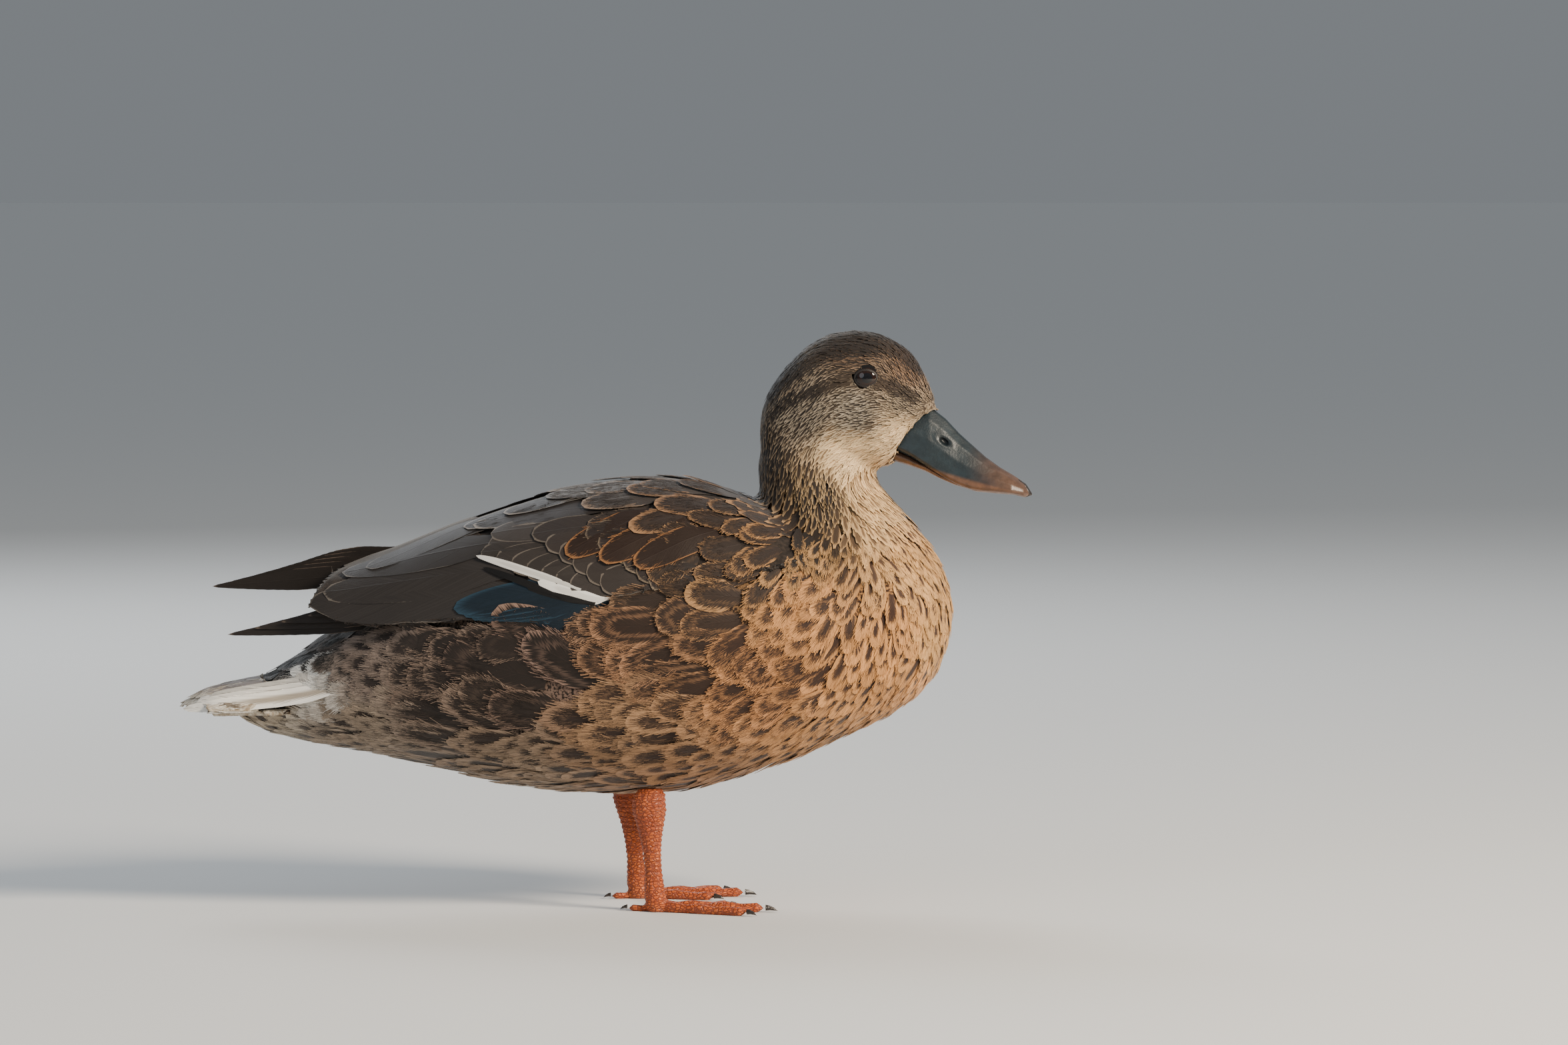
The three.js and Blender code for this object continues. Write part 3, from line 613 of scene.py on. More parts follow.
def growth(points):
    """Every property of the plumage at each point."""
    flat = points[:, [0, 2]].copy()
    near = (FIELDS[:, 0] - flat[:, :1]) ** 2 + (FIELDS[:, 1] - flat[:, 1:]) ** 2
    weight = 1 / (near + 9) ** 2.2
    weight /= weight.sum(1, keepdims=True)
    lie = np.radians(FIELDS[:, 2])
    aim = np.stack([weight @ np.cos(lie), np.zeros(len(points)), weight @ np.sin(lie)], 1)
    length, width, space, centre, bars, soft, fray = (weight @ FIELDS[:, 3:]).T
    pale, dark = weight @ PALE, weight @ DARK
    # Markings of the head
    straight = unturned(points)
    head = step(178, 192, points[:, 2]) * step(55, 66, points[:, 0])
    above = np.interp(straight[:, 0], [p[0] for p in CROWN_EDGE[::-1]], [p[1] for p in CROWN_EDGE[::-1]])
    crown = head * step(-1.5, 2.5, straight[:, 2] - above)
    stripe = head * (1 - step(1.2, 3.2, away(straight, STRIPE)))
    brow = head * (1 - crown) * (1 - stripe) * step(0, 3, straight[:, 2] - np.interp(
        straight[:, 0], [p[0] for p in STRIPE[::-1]], [p[1] for p in STRIPE[::-1]]))
    pale = pale * (1 - 0.55 * np.maximum(crown, stripe)[:, None]) + brow[:, None] * 0.01
    centre = np.where(head > 0, centre + 0.3 * np.maximum(crown, stripe) - 0.05 * brow, centre)
    return {"aim": aim, "length": length, "width": width, "space": space, "pale": pale, "dark": dark,
            "pattern": np.stack([centre, bars, soft], 1), "fray": fray}


def picked(style, index):
    return {key: values[index] for key, values in style.items()}


def inside(points, corners):
    """Which points lie within a side-view outline."""
    x, z = points[:, 0], points[:, 2]
    odd = np.zeros(len(points), bool)
    for (ax, az), (bx, bz) in zip(corners, corners[1:] + corners[:1]):
        cross = (az > z) != (bz > z)
        at = ax + (z - az) / (bz - az if bz != az else 1e-9) * (bx - ax)
        odd ^= cross & (x < at)
    return odd


# ---------- Skin ----------
SKIN_DEPTH = {"body": 3.0, "head": 1.7}  # how far the skin lies inside the coat


def skin_material():
    material, tree, shader = new_material("skin", 0.8, 0.2, 0.2)
    place = node(tree, "ShaderNodeTexCoord").outputs["Object"]
    streak = noise(tree, place, 900, 3)
    mask = soft_step(tree, streak, 0.42, 0.6)
    colour = blend(tree, mask, attribute(tree, "pale"), attribute(tree, "dark"))
    tree.links.new(colour, shader.inputs["Base Color"])
    bump(tree, shader, noise(tree, place, 1500, 2), 0.4, 0.0004)
    return material


def add_skin():
    co, tri = merged_form(FLESH, 1.5, 4)
    head = step(165, 190, co[:, 2])
    depth = SKIN_DEPTH["body"] + (SKIN_DEPTH["head"] - SKIN_DEPTH["body"]) * head
    thin = step(62, 48, co[:, 2])
    normal = point_normals(co, tri)
    co = co - normal * (depth * (1 - 0.4 * (1 - thin)))[:, None]
    grown = growth(co)
    uv = unwrap(co)
    extra = {"pale": grown["pale"] * 0.7, "dark": grown["dark"]}
    mesh = make_mesh("skin", co, tri, extra, uv)
    add_piece("skin", mesh, skin_material(), FLESH)


add_skin()

WING = [f"{part}_{side}" for part in ("scapulars", "wing", "tertials") for side in SIDES]
EYES = ["eye_right", "eye_left"]
over = Surface(*merged_form(FLESH + EYES + WING + ["tail"], 1.3, 6))


def stepless(nodes, voxel, rounds, swell):
    """The nodes as one form smoothed until its steps are gone, swollen back to size."""
    co, tri = merged_form(nodes, voxel, rounds)
    return Surface(co + point_normals(co, tri) * swell, tri)


soft = stepless(FLESH + WING, 2.6, 40, 0.7)

PLUMAGE = plumage_material("plumage", 0.62, 0.2, 34.0, 0.35, 0.9, 0.4)
QUILL = plumage_material("quill", 0.58, 0.03, 90.0, 0.35, 0.08, 0.3)

QUILL_ZONE = [(-140, 122), (-112, 119), (-70, 118), (-30, 113), (-10, 117), (10, 126), (34, 134),
              (60, 139), (62, 146), (40, 152), (16, 162), (8, 180), (-60, 182), (-125, 160)]

# The folded wing's lower edge in side view: x, then z
WING_EDGE = ([-125, -99, -66, -47, -30, -16, -5, 10, 30], [118, 121, 123, 125, 124, 131, 136, 140, 143])


def tract(guide, points, segments, name, replaced, lift, crown, jitter=0.1, barbs=0):
    """Plumage over the given roots."""
    style = growth(points)
    keep = spread(points, style["space"])
    points, style = points[keep], picked(style, keep)
    n = len(points)
    turn = RNG.normal(0, jitter, n)
    aim = style["aim"]
    style["aim"] = np.stack([aim[:, 0] * np.cos(turn) - aim[:, 2] * np.sin(turn),
                             RNG.normal(0, 0.08, n),
                             aim[:, 0] * np.sin(turn) + aim[:, 2] * np.cos(turn)], 1)
    style["length"] = style["length"] * RNG.uniform(0.85, 1.15, n)
    style["width"] = style["width"] * RNG.uniform(0.88, 1.12, n)
    # Feathers of the flank turn along the wing's edge and do not cross it
    tip = points + style["aim"] * style["length"][:, None]
    past = np.maximum(tip[:, 2] - np.interp(tip[:, 0], *WING_EDGE), 0)
    flank = (points[:, 2] < np.interp(points[:, 0], *WING_EDGE)) & (np.abs(points[:, 0] + 50) < 70)
    style["aim"][:, 2] -= np.where(flank, past / style["length"], 0)
    style["lift"] = np.array(lift)[None] + RNG.normal(0, 0.16, (n, 1)) + np.zeros((n, 2))
    style["pattern"][:, 0] += RNG.normal(0, 0.08, n)
    style["pale"] = style["pale"] * RNG.uniform(0.85, 1.15, (n, 1))
    eye = unturned(points)[:, [0, 2]] - EYE_SPOT
    way = unit(style["aim"][:, [0, 2]])
    scale = 1 / (np.array(APERTURE) + 0.5)
    a = ((way * scale) ** 2).sum(1)
    b = (eye * way * scale ** 2).sum(1)
    c = ((eye * scale) ** 2).sum(1) - 1
    root = b ** 2 - a * c
    meet = np.where((root > 0) & (b < 0), (-b - np.sqrt(np.maximum(root, 0))) / a, 99)
    style["length"] = np.minimum(style["length"], np.maximum(meet, 0.8))
    ok = c > 0
    style, points = picked(style, ok), points[ok]
    n = len(points)
    walk = march(guide, points, style["aim"], style["length"], segments)
    blunt = 1.3
    if barbs:
        blunt = 2.0
        loose, style["fray"] = style["fray"], np.zeros(n)
    coat(name, vanes(walk, style, segments, guide, blunt, crown), PLUMAGE, replaced)
    if barbs:
        made = barbs_over(guide, walk, style, barbs, loose)
        coat(f"{name}_barbs", made, PLUMAGE, replaced)


def barbs_over(guide, walk, style, count, loose):
    """Slivers along the barbs of each vane, as dark or pale as it is there, some past its rim."""
    n, k = len(walk[0]), walk[0].shape[1] - 1
    size = (n, count)
    u = RNG.uniform(-0.9, 0.9, size)
    rim = 0.5 + 0.5 * np.sqrt(1 - u ** 2)  # where the rounded tip ends at each u
    s = 0.36 + (rim - 0.42) * RNG.random(size) ** 0.8
    at = np.clip(np.floor(s * k).astype(int), 0, k - 1)
    part = (s * k - at)[..., None]
    who = np.arange(n)[:, None]
    root, up, way = (v[who, at] * (1 - part) + v[who, at + 1] * part for v in walk)
    across = np.cross(unit(up), unit(way))
    half = style["width"][:, None] / 2
    root = root + across * (u * half)[..., None]
    splay = np.radians(u * (26 - 15 * s) + RNG.normal(0, 4, size))
    aim = way * np.cos(splay)[..., None] + across * np.sin(splay)[..., None]
    whole = style["length"][:, None]
    length = np.clip(whole * 0.26, 3, 10) * RNG.uniform(0.6, 1.3, size)
    length = np.minimum(length, (rim - s) * whole + RNG.uniform(0.3, 4.5, size)) * (0.3 + 1.1 * np.reshape(loose, (-1, 1)))
    # Barbs of the flank stop at the folded wing
    end = root + aim * length[..., None]
    edge = np.interp(end[..., 0], *WING_EDGE)
    crossing = (end[..., 2] > edge) & (end[..., 0] > -125) & (end[..., 0] < 0)
    crossing &= walk[0][:, :1, 2] < np.interp(walk[0][:, :1, 0], *WING_EDGE)
    length = np.where(crossing, 0.3, length)
    centre, bars = style["pattern"][:, :1], style["pattern"][:, 1:2]
    wobble = RNG.normal(0, 0.12, size)

    def lightness(far):
        """How pale the vane is at this share of the way along each sliver."""
        v = s + far * length * np.cos(splay) / whole
        side = u + far * length * np.sin(splay) / half
        q = np.hypot(side, np.maximum(v - 0.55, 0) / 0.45) + wobble
        mark = step(0.44, 0.52, q / centre) * step(0.74, 0.64, q / centre)
        return np.maximum(step(centre - 0.1, centre + 0.1, q), mark * bars)[..., None]

    tone = RNG.uniform(0.65, 1.3, size)[..., None]
    pale, dark = style["pale"][:, None] * tone, style["dark"][:, None] * tone
    near, tip = lightness(0.2), lightness(0.9)
    low, high = style["lift"][:, :1], style["lift"][:, 1:]
    start = low + (high - low) * s + 0.03
    finish = low + (high - low) * np.minimum(s + 0.2, 1) + RNG.uniform(0.0, 0.2, size)
    many = {
        "length": length.ravel(), "width": RNG.uniform(0.3, 0.55, n * count),
        "lift": np.stack([start, finish], -1).reshape(-1, 2),
        "pale": (pale * tip + dark * (1 - tip)).reshape(-1, 3),
        "dark": (pale * near + dark * (1 - near)).reshape(-1, 3),
        "pattern": np.tile([0.5, 0, 0.4], (n * count, 1)), "fray": np.zeros(n * count),
    }
    walk = march(guide, root.reshape(-1, 3), aim.reshape(-1, 3), many["length"], 1)
    made = vanes(walk, many, 1, guide, crown=0.08)
    made["feather"][:, 0] = 0.1  # no rim of its own: dark and pale follow its length
    return made


wings = Surface(*merged_form(WING, 1.6, 2))


def cover():
    points = over.scatter(9.0)
    style = growth(points)
    wanted = 11 / style["space"] ** 2 / 9.0
    points = points[RNG.random(len(points)) < wanted]
    zone = inside(points, QUILL_ZONE)
    zone &= (points[:, 0] > -100) & (np.abs(points[:, 1]) > 14) | (wings.distance(points) < 4)
    points = points[~zone]
    points = points[(points[:, 2] > 44) & (points[:, 0] > np.where(points[:, 2] > 92, -140, -134))]
    straight = unturned(points)
    bill = [(120, 190), (130, 190), (133, 193.5), (134.5, 197), (134.5, 203), (135.5, 210), (150, 215),
            (150, 180)]
    points = points[~inside(straight, bill)]
    z, x = points[:, 2], points[:, 0]
    is_head = (z > 186) & (x > 60)
    is_neck = ~is_head & (z > 160) & (x > 62 + (175 - z) * 0.6)
    rest = ~is_head & ~is_neck
    tract(over, points[is_head], 3, "head_plumage", ["head"], (-0.95, -0.3), 0.12)
    tract(over, points[is_neck], 4, "neck_plumage", ["neck"], (-1.3, -0.35), 0.15)
    sides = rest & (x > -104) & (x < 96) & (z > 66)
    for name, part, guide, barbs in (("side", sides, soft, 190), ("end", rest & ~sides, over, 58)):
        tract(guide, points[part], 8, f"{name}_plumage", ["trunk", "rump"],
              (-2.0, -0.35), 0.2, 0.2, barbs)


cover()


# ---------- Wings ----------
def thickness(surface, co, normal):
    """How far each point is from the far side of its own form."""
    found = [surface.tree.ray_cast((p - 0.05 * n).tolist(), (-n).tolist())[3]
             for p, n in zip(co, normal)]
    return np.array([99.0 if f is None else f for f in found])


def bed_material(name, dark, light):
    material, tree, shader = new_material(name, 0.8, 0.1, 0.2)
    place = node(tree, "ShaderNodeTexCoord").outputs["Object"]
    shade = soft_step(tree, noise(tree, place, 500, 3), 0.3, 0.7)
    colour = blend(tree, shade, (*linear(dark), 1), (*linear(light), 1))
    tree.links.new(colour, shader.inputs["Base Color"])
    bump(tree, shader, noise(tree, place, 1200, 2), 0.4, 0.0004)
    return material


def add_bed(name, nodes, voxel, depth, dark, light):
    """A plain bed inside the given solids, which the quills lie on."""
    co, tri = merged_form(nodes, voxel, 3)
    normal = point_normals(co, tri)
    push = np.minimum(depth, 0.48 * thickness(Surface(co, tri), co, normal))
    co = co - normal * push[:, None]
    material = bed_material(name, dark, light)
    add_piece(name, make_mesh(name, co, tri, None, unwrap(co)), material, nodes)


add_bed("wing_bed", WING, 1.2, 2.6, "#1C1612", "#332A24")


def spots_on(surface, x, z, side):
    """Points of the surface seen from one side at (x, z), or the nearest where it has none."""
    y, _ = surface.outer(x, z, side)
    guess = np.stack([x, np.where(np.isnan(y), side * 24.0, y), z], 1)
    return surface.nearest(guess)[0]


# Rows of large feathers: root and tip of the first and of the last in side view, how many,
# width of the first and last, lift at root and tip, pale, dark, dark share, U mark, softness,
# fray, bluntness.
ROWS = {
    "secondary": ((2, 130, -46, 121), (-14, 138, -62, 128), 6, 12, 12, -1.35, -1.0,
                  "#263D4C", "#0F1C26", 0.9, 0, 0.2, 0, 2.0),
    "tertial": ((-36, 134, -124, 125.6), (-40, 167, -101, 149), 4, 24, 16, -1.15, -0.6,
                "#5C554E", "#2B2725", 0.97, 0, 0.015, 0, 1.7),
    "great covert": ((8, 143, -14, 136.5), (-14, 153, -51, 150.5), 7, 14, 15, -1.9, -0.6,
                     "#5F574F", "#302B28", 0.97, 0, 0.02, 0, 2.4),
    # The black bar is partly the black band beside the speculum and partly painted shadow in the gap above
    # it.
    "black band and shade": ((-4, 130.4, -32, 137), (-18, 133, -50, 144.4), 2, 4, 3, -0.9, -0.5,
                  "#14110F", "#0F0D0D", 0.95, 0, 0.02, 0, 2.4),
    "white bar": ((4, 132.0, -28, 139.4), (-10, 136.0, -53, 149.0), 2, 5.4, 3.6, -1.1, -0.35,
                  "#E6E3DD", "#D2CFC8", 0.5, 0, 0.1, 0, 2.4),
    "grey covert": ((-14, 154, -49, 150), (-14, 163, -47, 158), 3, 15, 15, -1.8, -0.6,
                    "#5F574F", "#342F2C", 0.97, 0, 0.02, 0, 2.4),
    "median covert": ((26, 142, -2, 139), (4, 163, -30, 158), 6, 15, 15, -1.8, -0.6,
                      "#645B52", "#302A27", 0.96, 0, 0.02, 0, 2.4),
    "small covert": ((42, 142, 18, 140), (22, 162, -8, 158), 6, 14, 14, -1.7, -0.5,
                     "#6E6050", "#292220", 0.95, 0, 0.04, 0, 2.4),
    "rear scapular": ((-18, 173, -74, 161), (-10, 178, -62, 170), 2, 17, 16, -1.9, -0.5,
                      "#766D65", "#252120", 0.96, 0, 0.02, 0, 2.0),
    "long scapular": ((2, 170, -56, 165), (6, 178, -44, 172), 2, 16, 16, -1.6, -0.2,
                      "#7C7268", "#25201E", 0.95, 0, 0.03, 0, 2.0),
    # The lit scapulars are warmer and browner than the other scapulars: partly their own colour, partly
    # painted sunlight.
    "lit scapular": ((21, 168, -16, 150), (46, 160, 12, 146), 3, 15, 14, -1.2, 0.1,
                     "#91643E", "#271A13", 0.94, 0, 0.04, 0, 2.0),
}
LOOSE = {"long scapular": 40, "lit scapular": 60, "small covert": 40}  # barbs drawn apart


def row_style(row):
    first, last, count, wide, narrow, low, high, pale, dark, centre, bars, soft, fray, blunt = row
    t = np.linspace(0, 1, count)[:, None]
    ends = np.array(first) * (1 - t) + np.array(last) * t
    rise = 0.35 * t  # later feathers lie over the ones before
    return ends, {
        "width": (wide * (1 - t) + narrow * t)[:, 0],
        "lift": np.concatenate([low + rise, high + rise], 1),
        "pale": np.tile(linear(pale), (count, 1)), "dark": np.tile(linear(dark), (count, 1)),
        "pattern": np.tile([centre, bars, soft], (count, 1)), "fray": np.full(count, fray),
    }, blunt


def lay_row(name, row, surface, barbs, replaced, segments=16):
    ends, style, blunt = row_style(row)
    for side in (-1, 1):
        root = spots_on(surface, ends[:, 0], ends[:, 1], side)
        tip = spots_on(surface, ends[:, 2], ends[:, 3], side)
        style["length"] = np.linalg.norm(tip - root, axis=1) * 1.01
        walk = march(surface, root, tip - root, style["length"], segments, tip)
        made = vanes(walk, style, segments, surface, blunt, 0.4, 0.012)
        whole = f"{name}_{'right' if side < 0 else 'left'}".replace(" ", "_")
        coat(whole, made, QUILL, replaced)
        if barbs:
            made = barbs_over(surface, walk, style, barbs, 0.3)
            coat(f"{whole}_barbs", made, QUILL, replaced)


for row_name, row in ROWS.items():
    lay_row(row_name, row, over, LOOSE.get(row_name, 0), WING)

PRIMARIES = {
    "right": ((-66, 126, -157, 114.8), (-62, 136, -112, 126), 5, 9.5, 9.5, 0.5, 0.5,
              "#5A4E45", "#231E1B", 0.95, 0, 0.02, 0.04, 1.2),
    "left": ((-90, 140, -164, 134), (-84, 149, -136, 140.5), 5, 9.5, 9.5, 0.5, 0.5,
             "#5A4E45", "#231E1B", 0.95, 0, 0.02, 0.04, 1.2),
}
LAYER = 0.45  # from one primary to the next


def lay_primaries(name, side):
    """Straight quills through the middle of the thin solid, one lying on the next."""
    ends, style, blunt = row_style(PRIMARIES[name])
    form = Surface(*merged_form([f"primaries_{name}"], 0.6, 2))
    count, segments = len(ends), 18
    middle = []
    for x, z in ((ends[:, 0], ends[:, 1]), (ends[:, 2], ends[:, 3])):
        middle.append((spots_on(form, x, z, side) + spots_on(form, x, z, -side)) / 2)
        middle[-1][:, 0], middle[-1][:, 2] = x, z
    root, tip = middle
    layer = (np.arange(count) - (count - 1) / 2) * LAYER * side
    root[:, 1] += layer
    tip[:, 1] += layer
    t = np.linspace(0, 1, segments + 1)[None, :, None]
    place = root[:, None] * (1 - t) + tip[:, None] * t
    heading = np.tile(unit(tip - root)[:, None], (1, segments + 1, 1))
    normal = tangent(np.tile([0.0, side, 0.25], place.shape[:2] + (1,)), heading)
    style["length"] = np.linalg.norm(tip - root, axis=1)
    style["lift"] = style["lift"] * 0
    made = vanes((place, normal, heading), style, segments, None, blunt, 0.4, 0.012)
    coat(f"primary_{name}", made, QUILL, [f"primaries_{name}"])


for name, side in SIDES.items():
    lay_primaries(name, side)


# ---------- Tail ----------
TAIL_FAN = {"feathers": 11, "root": (-122, 20.0), "tip": (-178.5, 33.0), "outer_shorter": 13.0,
            "width": 15.0}


def add_tail():
    form = Surface(*merged_form(["tail"], 0.8, 3))
    t = np.linspace(-1, 1, TAIL_FAN["feathers"])
    level = np.zeros_like(t)
    for name, up in (("upper", 1), ("lower", -1)):
        root = np.stack([level + TAIL_FAN["root"][0], TAIL_FAN["root"][1] * t,
                         level + 90 + up * 14.0], 1)
        tip = np.stack([TAIL_FAN["tip"][0] + TAIL_FAN["outer_shorter"] * t ** 2,
                        TAIL_FAN["tip"][1] * t, level + 86 + up * 8.0], 1)
        root, tip = form.nearest(root)[0], form.nearest(tip)[0]
        outer = np.abs(t)[:, None]
        lift = -0.9 + 0.6 * (1 - outer if up > 0 else outer)
        white = step(0.3, 0.85, outer)
        style = {
            "length": np.linalg.norm(tip - root, axis=1), "width": np.full(len(t), TAIL_FAN["width"]),
            "lift": np.concatenate([lift - 0.2, lift + 0.2], 1),
            "pale": linear("#B9AA92") * (1 - white) + linear("#E9E4DA") * white,
            "dark": linear("#4F3D2E") * (1 - white) + linear("#8C7760") * white,
            "pattern": np.stack([0.75 - 0.5 * white[:, 0], 0.6 + 0 * t, 0.12 + 0 * t], 1),
            "fray": np.zeros(len(t)),
        }
        walk = march(form, root, tip - root, style["length"], 16, tip)
        made = vanes(walk, style, 16, form, 1.6, 0.3, 0.012)
        coat(f"tail_{name}", made, QUILL, ["tail"])
        made = barbs_over(form, walk, style, 60, 0.4)
        coat(f"tail_{name}_barbs", made, QUILL, ["tail"])


OUTER_TAIL = np.array([(-104, 34, 95.5), (-112, 32.2, 93.6), (-122, 29.6, 91.2), (-134, 28, 89.2),
                       (-148, 29, 87.6), (-162, 29.6, 86.2), (-175, 25, 84.6)])  # (x, y, z) down the shaft


def add_outer_tail():
    """The white outer feathers that show along the side of the rump and the fan."""
    count, segments = 3, 18
    for name, side in SIDES.items():
        place = []
        for i in range(count):
            share = np.linspace(0.02, 1 - 0.07 * i, segments + 1) * (len(OUTER_TAIL) - 1)
            line = np.stack([np.interp(share, range(len(OUTER_TAIL)), c) for c in OUTER_TAIL.T], 1)
            place.append((line + [0, -1.8 * i, 2.0 * i]) * [1, side, 1])
        place = np.array(place)
        heading = unit(np.gradient(place, axis=1))
        normal = tangent(np.tile([-0.2, side * 0.8, 0.5], place.shape[:2] + (1,)), heading)
        white = np.linspace(1, 0.6, count)[:, None]
        style = {
            "length": np.linalg.norm(np.diff(place, axis=1), axis=2).sum(1),
            "width": np.full(count, 8.0), "lift": np.zeros((count, 2)),
            "pale": linear("#EFEBE3") * white, "dark": linear("#A39889") * white ** 4,
            "pattern": np.tile([0.4, 0, 0.2], (count, 1)), "fray": np.zeros(count),
        }
        walk = (place, normal, heading)
        made = vanes(walk, style, segments, None, 1.6, 0.4, 0.012)
        coat(f"outer_tail_{name}", made, PLUMAGE, ["tail"])
        vane = Surface(made["co"], made["faces"])
        made = barbs_over(vane, walk, style, 90, 0.5)
        coat(f"outer_tail_{name}_barbs", made, PLUMAGE, ["tail"])


add_tail()
add_outer_tail()
add_bed("tail_bed", ["tail"], 0.8, 1.2, "#8C7B66", "#CFC6B6")


# ---------- Bill, eyes, legs ----------
def turned(points):
    c, s = math.cos(HEAD_TURN), math.sin(HEAD_TURN)
    q = points - NECK_AXIS
    return np.stack([q[:, 0] * c - q[:, 1] * s, q[:, 0] * s + q[:, 1] * c, q[:, 2]], 1) + NECK_AXIS


def horn_material(name, roughness, scale, relief, coat_weight=0.0):
    material, tree, shader = new_material(name, roughness, 0, 0.5, coat_weight)
    place = node(tree, "ShaderNodeTexCoord").outputs["Object"]
    mottle = soft_step(tree, noise(tree, place, scale, 4), 0.3, 0.7, 0.72, 1.2)
    shade = node(tree, "ShaderNodeCombineXYZ")
    for socket in shade.inputs:
        tree.links.new(mottle, socket)
    colour = blend(tree, 1.0, attribute(tree, "tint"), shade.outputs[0], "MULTIPLY")
    tree.links.new(colour, shader.inputs["Base Color"])
    bump(tree, shader, noise(tree, place, scale * 4, 3), relief, 0.0003)
    return material


def nose(points):
    """0 away from the nostril, 1 on the raised rim about it; and a second mask, 1 in the middle of the
    nostril, where the bill is darkened as painted shade in the hole.
    """
    straight = unturned(points)
    off = straight[:, [0, 2]] - np.array([143.1, 195.0])
    tilt = math.radians(-36)
    along = off @ np.array([math.cos(tilt), math.sin(tilt)])
    over_it = off @ np.array([-math.sin(tilt), math.cos(tilt)])
    far = np.sqrt((along / 4.2) ** 2 + (over_it / 1.9) ** 2)
    return np.exp(-((far - 1.0) / 0.28) ** 2), np.exp(-(far / 0.8) ** 2)


def add_bill():
    material = horn_material("bill", 0.42, 260, 0.35, 0.05)
    for name, nodes, slot in (("bill_upper_form", ["bill_upper"], "bill"),
                              ("bill_lower_form", ["bill_lower"], "bill_edge"),
                              ("bill_nail_form", ["bill_nail"], "nail")):
        co, tri = merged_form(nodes, 0.45, 5)
        normal = point_normals(co, tri)
        straight = unturned(co)
        rim, painted_nostril_shade = nose(co)
        co = co + normal * (0.16 * rim)[:, None]
        run = step(133, 178, straight[:, 0])
        ridge = 1 - step(1.5, 5, np.abs(straight[:, 1]))
        edge = step(1.8, 0.2, straight[:, 2] - np.interp(straight[:, 0], [128, 150, 178],
                                                         [185.5, 179, 171.5]))
        # The near-black base has a slight blue cast that is painted sky reflection.
        tint = np.tile(linear("#1E292E"), (len(co), 1))
        warm = np.clip(0.8 * edge + step(0.35, 1.0, run) * 0.6, 0, 1)[:, None]
        tint = tint * (1 - warm) + linear("#6E4C35") * warm
        tint = tint * (1 - 0.35 * ridge[:, None] * (1 - run[:, None]))
        # Painted shade: the bill is darkened in the middle of the nostril, as in a hole.
        tint = tint * (1 - 0.8 * painted_nostril_shade[:, None])
        if slot == "nail":
            tint = tint * 0 + linear("#2B221D")
        if slot == "bill_edge":
            tint = tint * 0.4 + linear("#6E4A30") * 0.6
        add_piece(name, make_mesh(name, co, tri, {"tint": tint}), material, nodes)


def eye_material():
    material, tree, shader = new_material("eye", 0.04, 0, 0.5, 0.0)
    split = node(tree, "ShaderNodeSeparateXYZ")
    tree.links.new(attribute(tree, "gaze"), split.inputs[0])
    streak = noise(tree, attribute(tree, "gaze"), 9, 3)
    iris = blend(tree, soft_step(tree, streak, 0.35, 0.65), (*linear("#160B06"), 1),
                 (*linear("#2B170D"), 1))
    pupil = soft_step(tree, split.outputs[0], 0.30, 0.34, 1.0, 0.0)
    colour = blend(tree, pupil, iris, (0.004, 0.004, 0.005, 1))
    rim = soft_step(tree, split.outputs[0], 0.58, 0.68)
    colour = blend(tree, rim, colour, (0.006, 0.004, 0.003, 1))
    tree.links.new(colour, shader.inputs["Base Color"])
    return material


def grid_faces(rows, columns):
    """Triangles of a grid closed round its columns."""
    a = np.arange(rows - 1)[:, None] * columns + np.arange(columns)[None]
    b = np.arange(rows - 1)[:, None] * columns + (np.arange(columns)[None] + 1) % columns
    quads = np.stack([a, b, b + columns, a + columns], -1).reshape(-1, 4)
    return np.concatenate([quads[:, [0, 1, 2]], quads[:, [0, 2, 3]]])


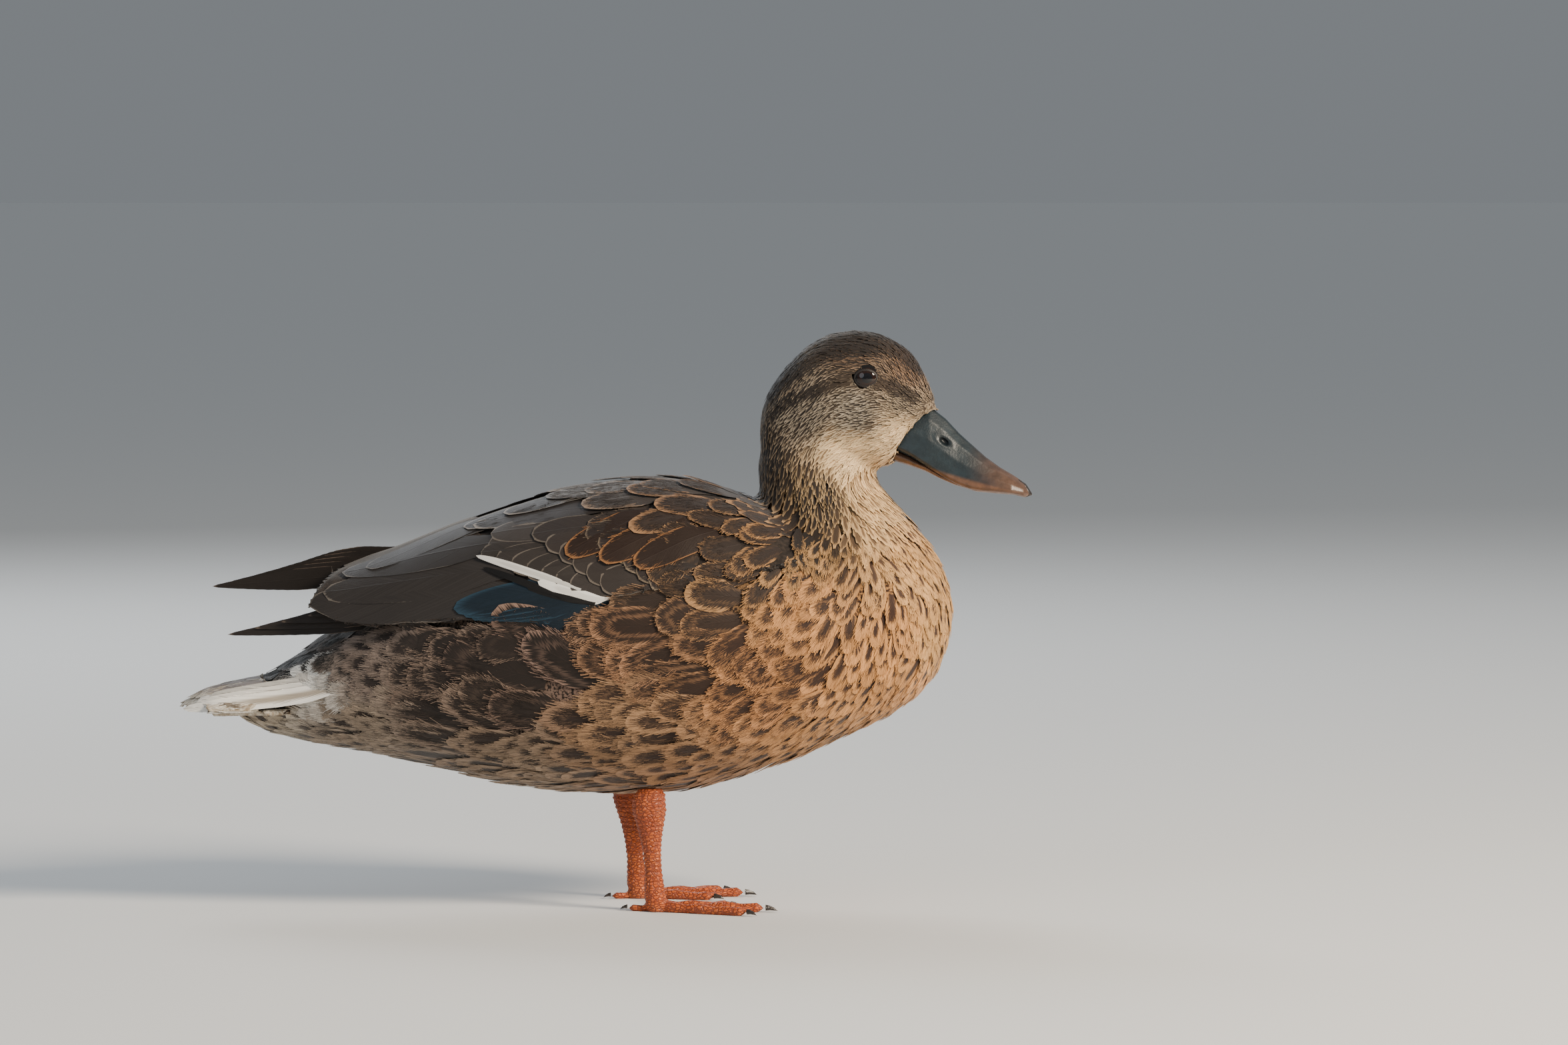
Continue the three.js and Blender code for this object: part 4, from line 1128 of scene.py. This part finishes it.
def add_eyes():
    glass = eye_material()
    lid = horn_material("lid", 0.55, 700, 0.5)
    for name, side in SIDES.items():
        corners, _ = mesh_arrays(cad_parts[f"eye_{name}"].data)
        middle = (corners.min(0) + corners.max(0)) / 2
        radius = (corners.max(0) - corners.min(0)).max() / 2 - 0.05
        out = turned(NECK_AXIS[None] + [0.12, side * 1.0, 0.02]) - turned(NECK_AXIS[None])
        out = unit(out)[0]
        level = unit(np.cross(out, [0, 0, 1]))
        up = np.cross(level, out)
        rows, columns = 40, 64
        polar = np.linspace(0.001, math.pi - 0.001, rows)[:, None]
        around = np.linspace(0, math.tau, columns, endpoint=False)[None]
        ray = (np.cos(polar)[..., None] * out + (np.sin(polar) * np.cos(around))[..., None] * level
               + (np.sin(polar) * np.sin(around))[..., None] * up)
        ball = middle + radius * ray.reshape(-1, 3)
        gaze = np.stack([np.sin(polar) + 0 * around, np.cos(around) + 0 * polar,
                         np.sin(around) + 0 * polar], -1).reshape(-1, 3)
        gaze[np.repeat(polar[:, 0] > 1.5, columns), 0] = 1
        mesh = make_mesh(f"eyeball_{name}", ball, grid_faces(rows, columns), {"gaze": gaze})
        add_piece(f"eyeball_{name}", mesh, glass, [f"eye_{name}"])
        # Lids: a soft rim round the opening, lying on the ball
        rows, columns = 12, 72
        ring = np.linspace(0, math.tau, columns, endpoint=False)
        opening = np.stack([APERTURE[0] * np.cos(ring), APERTURE[1] * np.sin(ring)], 1)
        flat = unturned(middle[None])[0]
        centre = np.array([EYE_SPOT[0] - flat[0], EYE_SPOT[1] - flat[2]])
        at = opening + centre
        deep = np.sqrt(np.maximum(radius ** 2 - (at ** 2).sum(1), 4))
        spine = np.stack([flat[0] + at[:, 0], flat[1] + side * deep, flat[2] + at[:, 1]], 1)
        off = unit(spine - flat)
        wide = unit(np.stack([opening[:, 0] / APERTURE[0] ** 2, 0 * ring,
                              opening[:, 1] / APERTURE[1] ** 2], 1))
        wide = tangent(wide, off)
        turn = np.linspace(0, math.tau, rows, endpoint=False)
        tube = (spine[None] + off[None] * (0.3 * np.sin(turn))[:, None, None]
                + wide[None] * (0.3 + 0.6 * np.cos(turn))[:, None, None])
        tube = turned(tube.reshape(-1, 3))
        faces = grid_faces(rows, columns)
        last = np.arange(columns) + (rows - 1) * columns
        first = np.arange(columns)
        join = np.stack([last, np.roll(last, -1), np.roll(first, -1), first], 1)
        faces = np.concatenate([faces, join[:, [0, 1, 2]], join[:, [0, 2, 3]]])
        tint = np.tile(linear("#241C17"), (len(tube), 1))
        mesh = make_mesh(f"lid_{name}", tube, faces, {"tint": tint})
        add_piece(f"lid_{name}", mesh, lid)


def leg_material():
    material, tree, shader = new_material("leg", 0.45, 0, 0.45)
    place = node(tree, "ShaderNodeTexCoord").outputs["Object"]
    cells = node(tree, "ShaderNodeTexVoronoi", feature="DISTANCE_TO_EDGE")
    cells.inputs["Scale"].default_value = 780
    squeeze = node(tree, "ShaderNodeMapping")
    squeeze.inputs["Scale"].default_value = (0.7, 0.7, 1.15)
    tree.links.new(place, squeeze.inputs["Vector"])
    tree.links.new(squeeze.outputs[0], cells.inputs["Vector"])
    scale = soft_step(tree, cells.outputs["Distance"], 0.02, 0.22)
    worn = soft_step(tree, noise(tree, place, 120, 3), 0.35, 0.7)
    colour = blend(tree, worn, attribute(tree, "tint"), (*linear("#C9682F"), 1))
    colour = blend(tree, scale, (*linear("#8A4128"), 1), colour)
    tree.links.new(colour, shader.inputs["Base Color"])
    bump(tree, shader, scale, 0.7, 0.0006)
    return material


def add_legs():
    material = leg_material()
    for name in SIDES:
        nodes = [f"shank_{name}", f"foot_{name}"]
        co, tri = merged_form(nodes, 0.55, 3)
        high = co[:, 2]
        normal = point_normals(co, tri)
        ring = np.sin(high * math.tau / 2.1 + 0.8 * np.sin(co[:, 1] * 0.9))
        co = co + normal * (0.22 * ring * step(6, 10, high) * step(56, 48, high))[:, None]
        co[:, 2] = np.maximum(co[:, 2], 0.0)
        # Painted shade: the legs darken from orange to dark red towards the top, under the body.
        shade = step(12, 40, high)[:, None]
        tint = linear("#C05A26") * (1 - 0.5 * shade) + linear("#8A4028") * 0.5 * shade
        mesh = make_mesh(f"leg_{name}", co, tri, {"tint": tint})
        add_piece(f"leg_{name}", mesh, material, nodes)


def claw_material():
    material, tree, shader = new_material("claw", 0.35, 0, 0.5)
    place = node(tree, "ShaderNodeTexCoord").outputs["Object"]
    shade = soft_step(tree, noise(tree, place, 900, 3), 0.3, 0.7)
    colour = blend(tree, shade, (*linear("#1A1512"), 1), (*linear("#3A302A"), 1))
    tree.links.new(colour, shader.inputs["Base Color"])
    bump(tree, shader, shade, 0.3, 0.0002)
    return material


add_bill()
add_eyes()
add_legs()
CLAW = claw_material()
for name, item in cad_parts.items():
    if name.startswith("claw"):
        item.data.materials.clear()
        item.data.materials.append(CLAW)
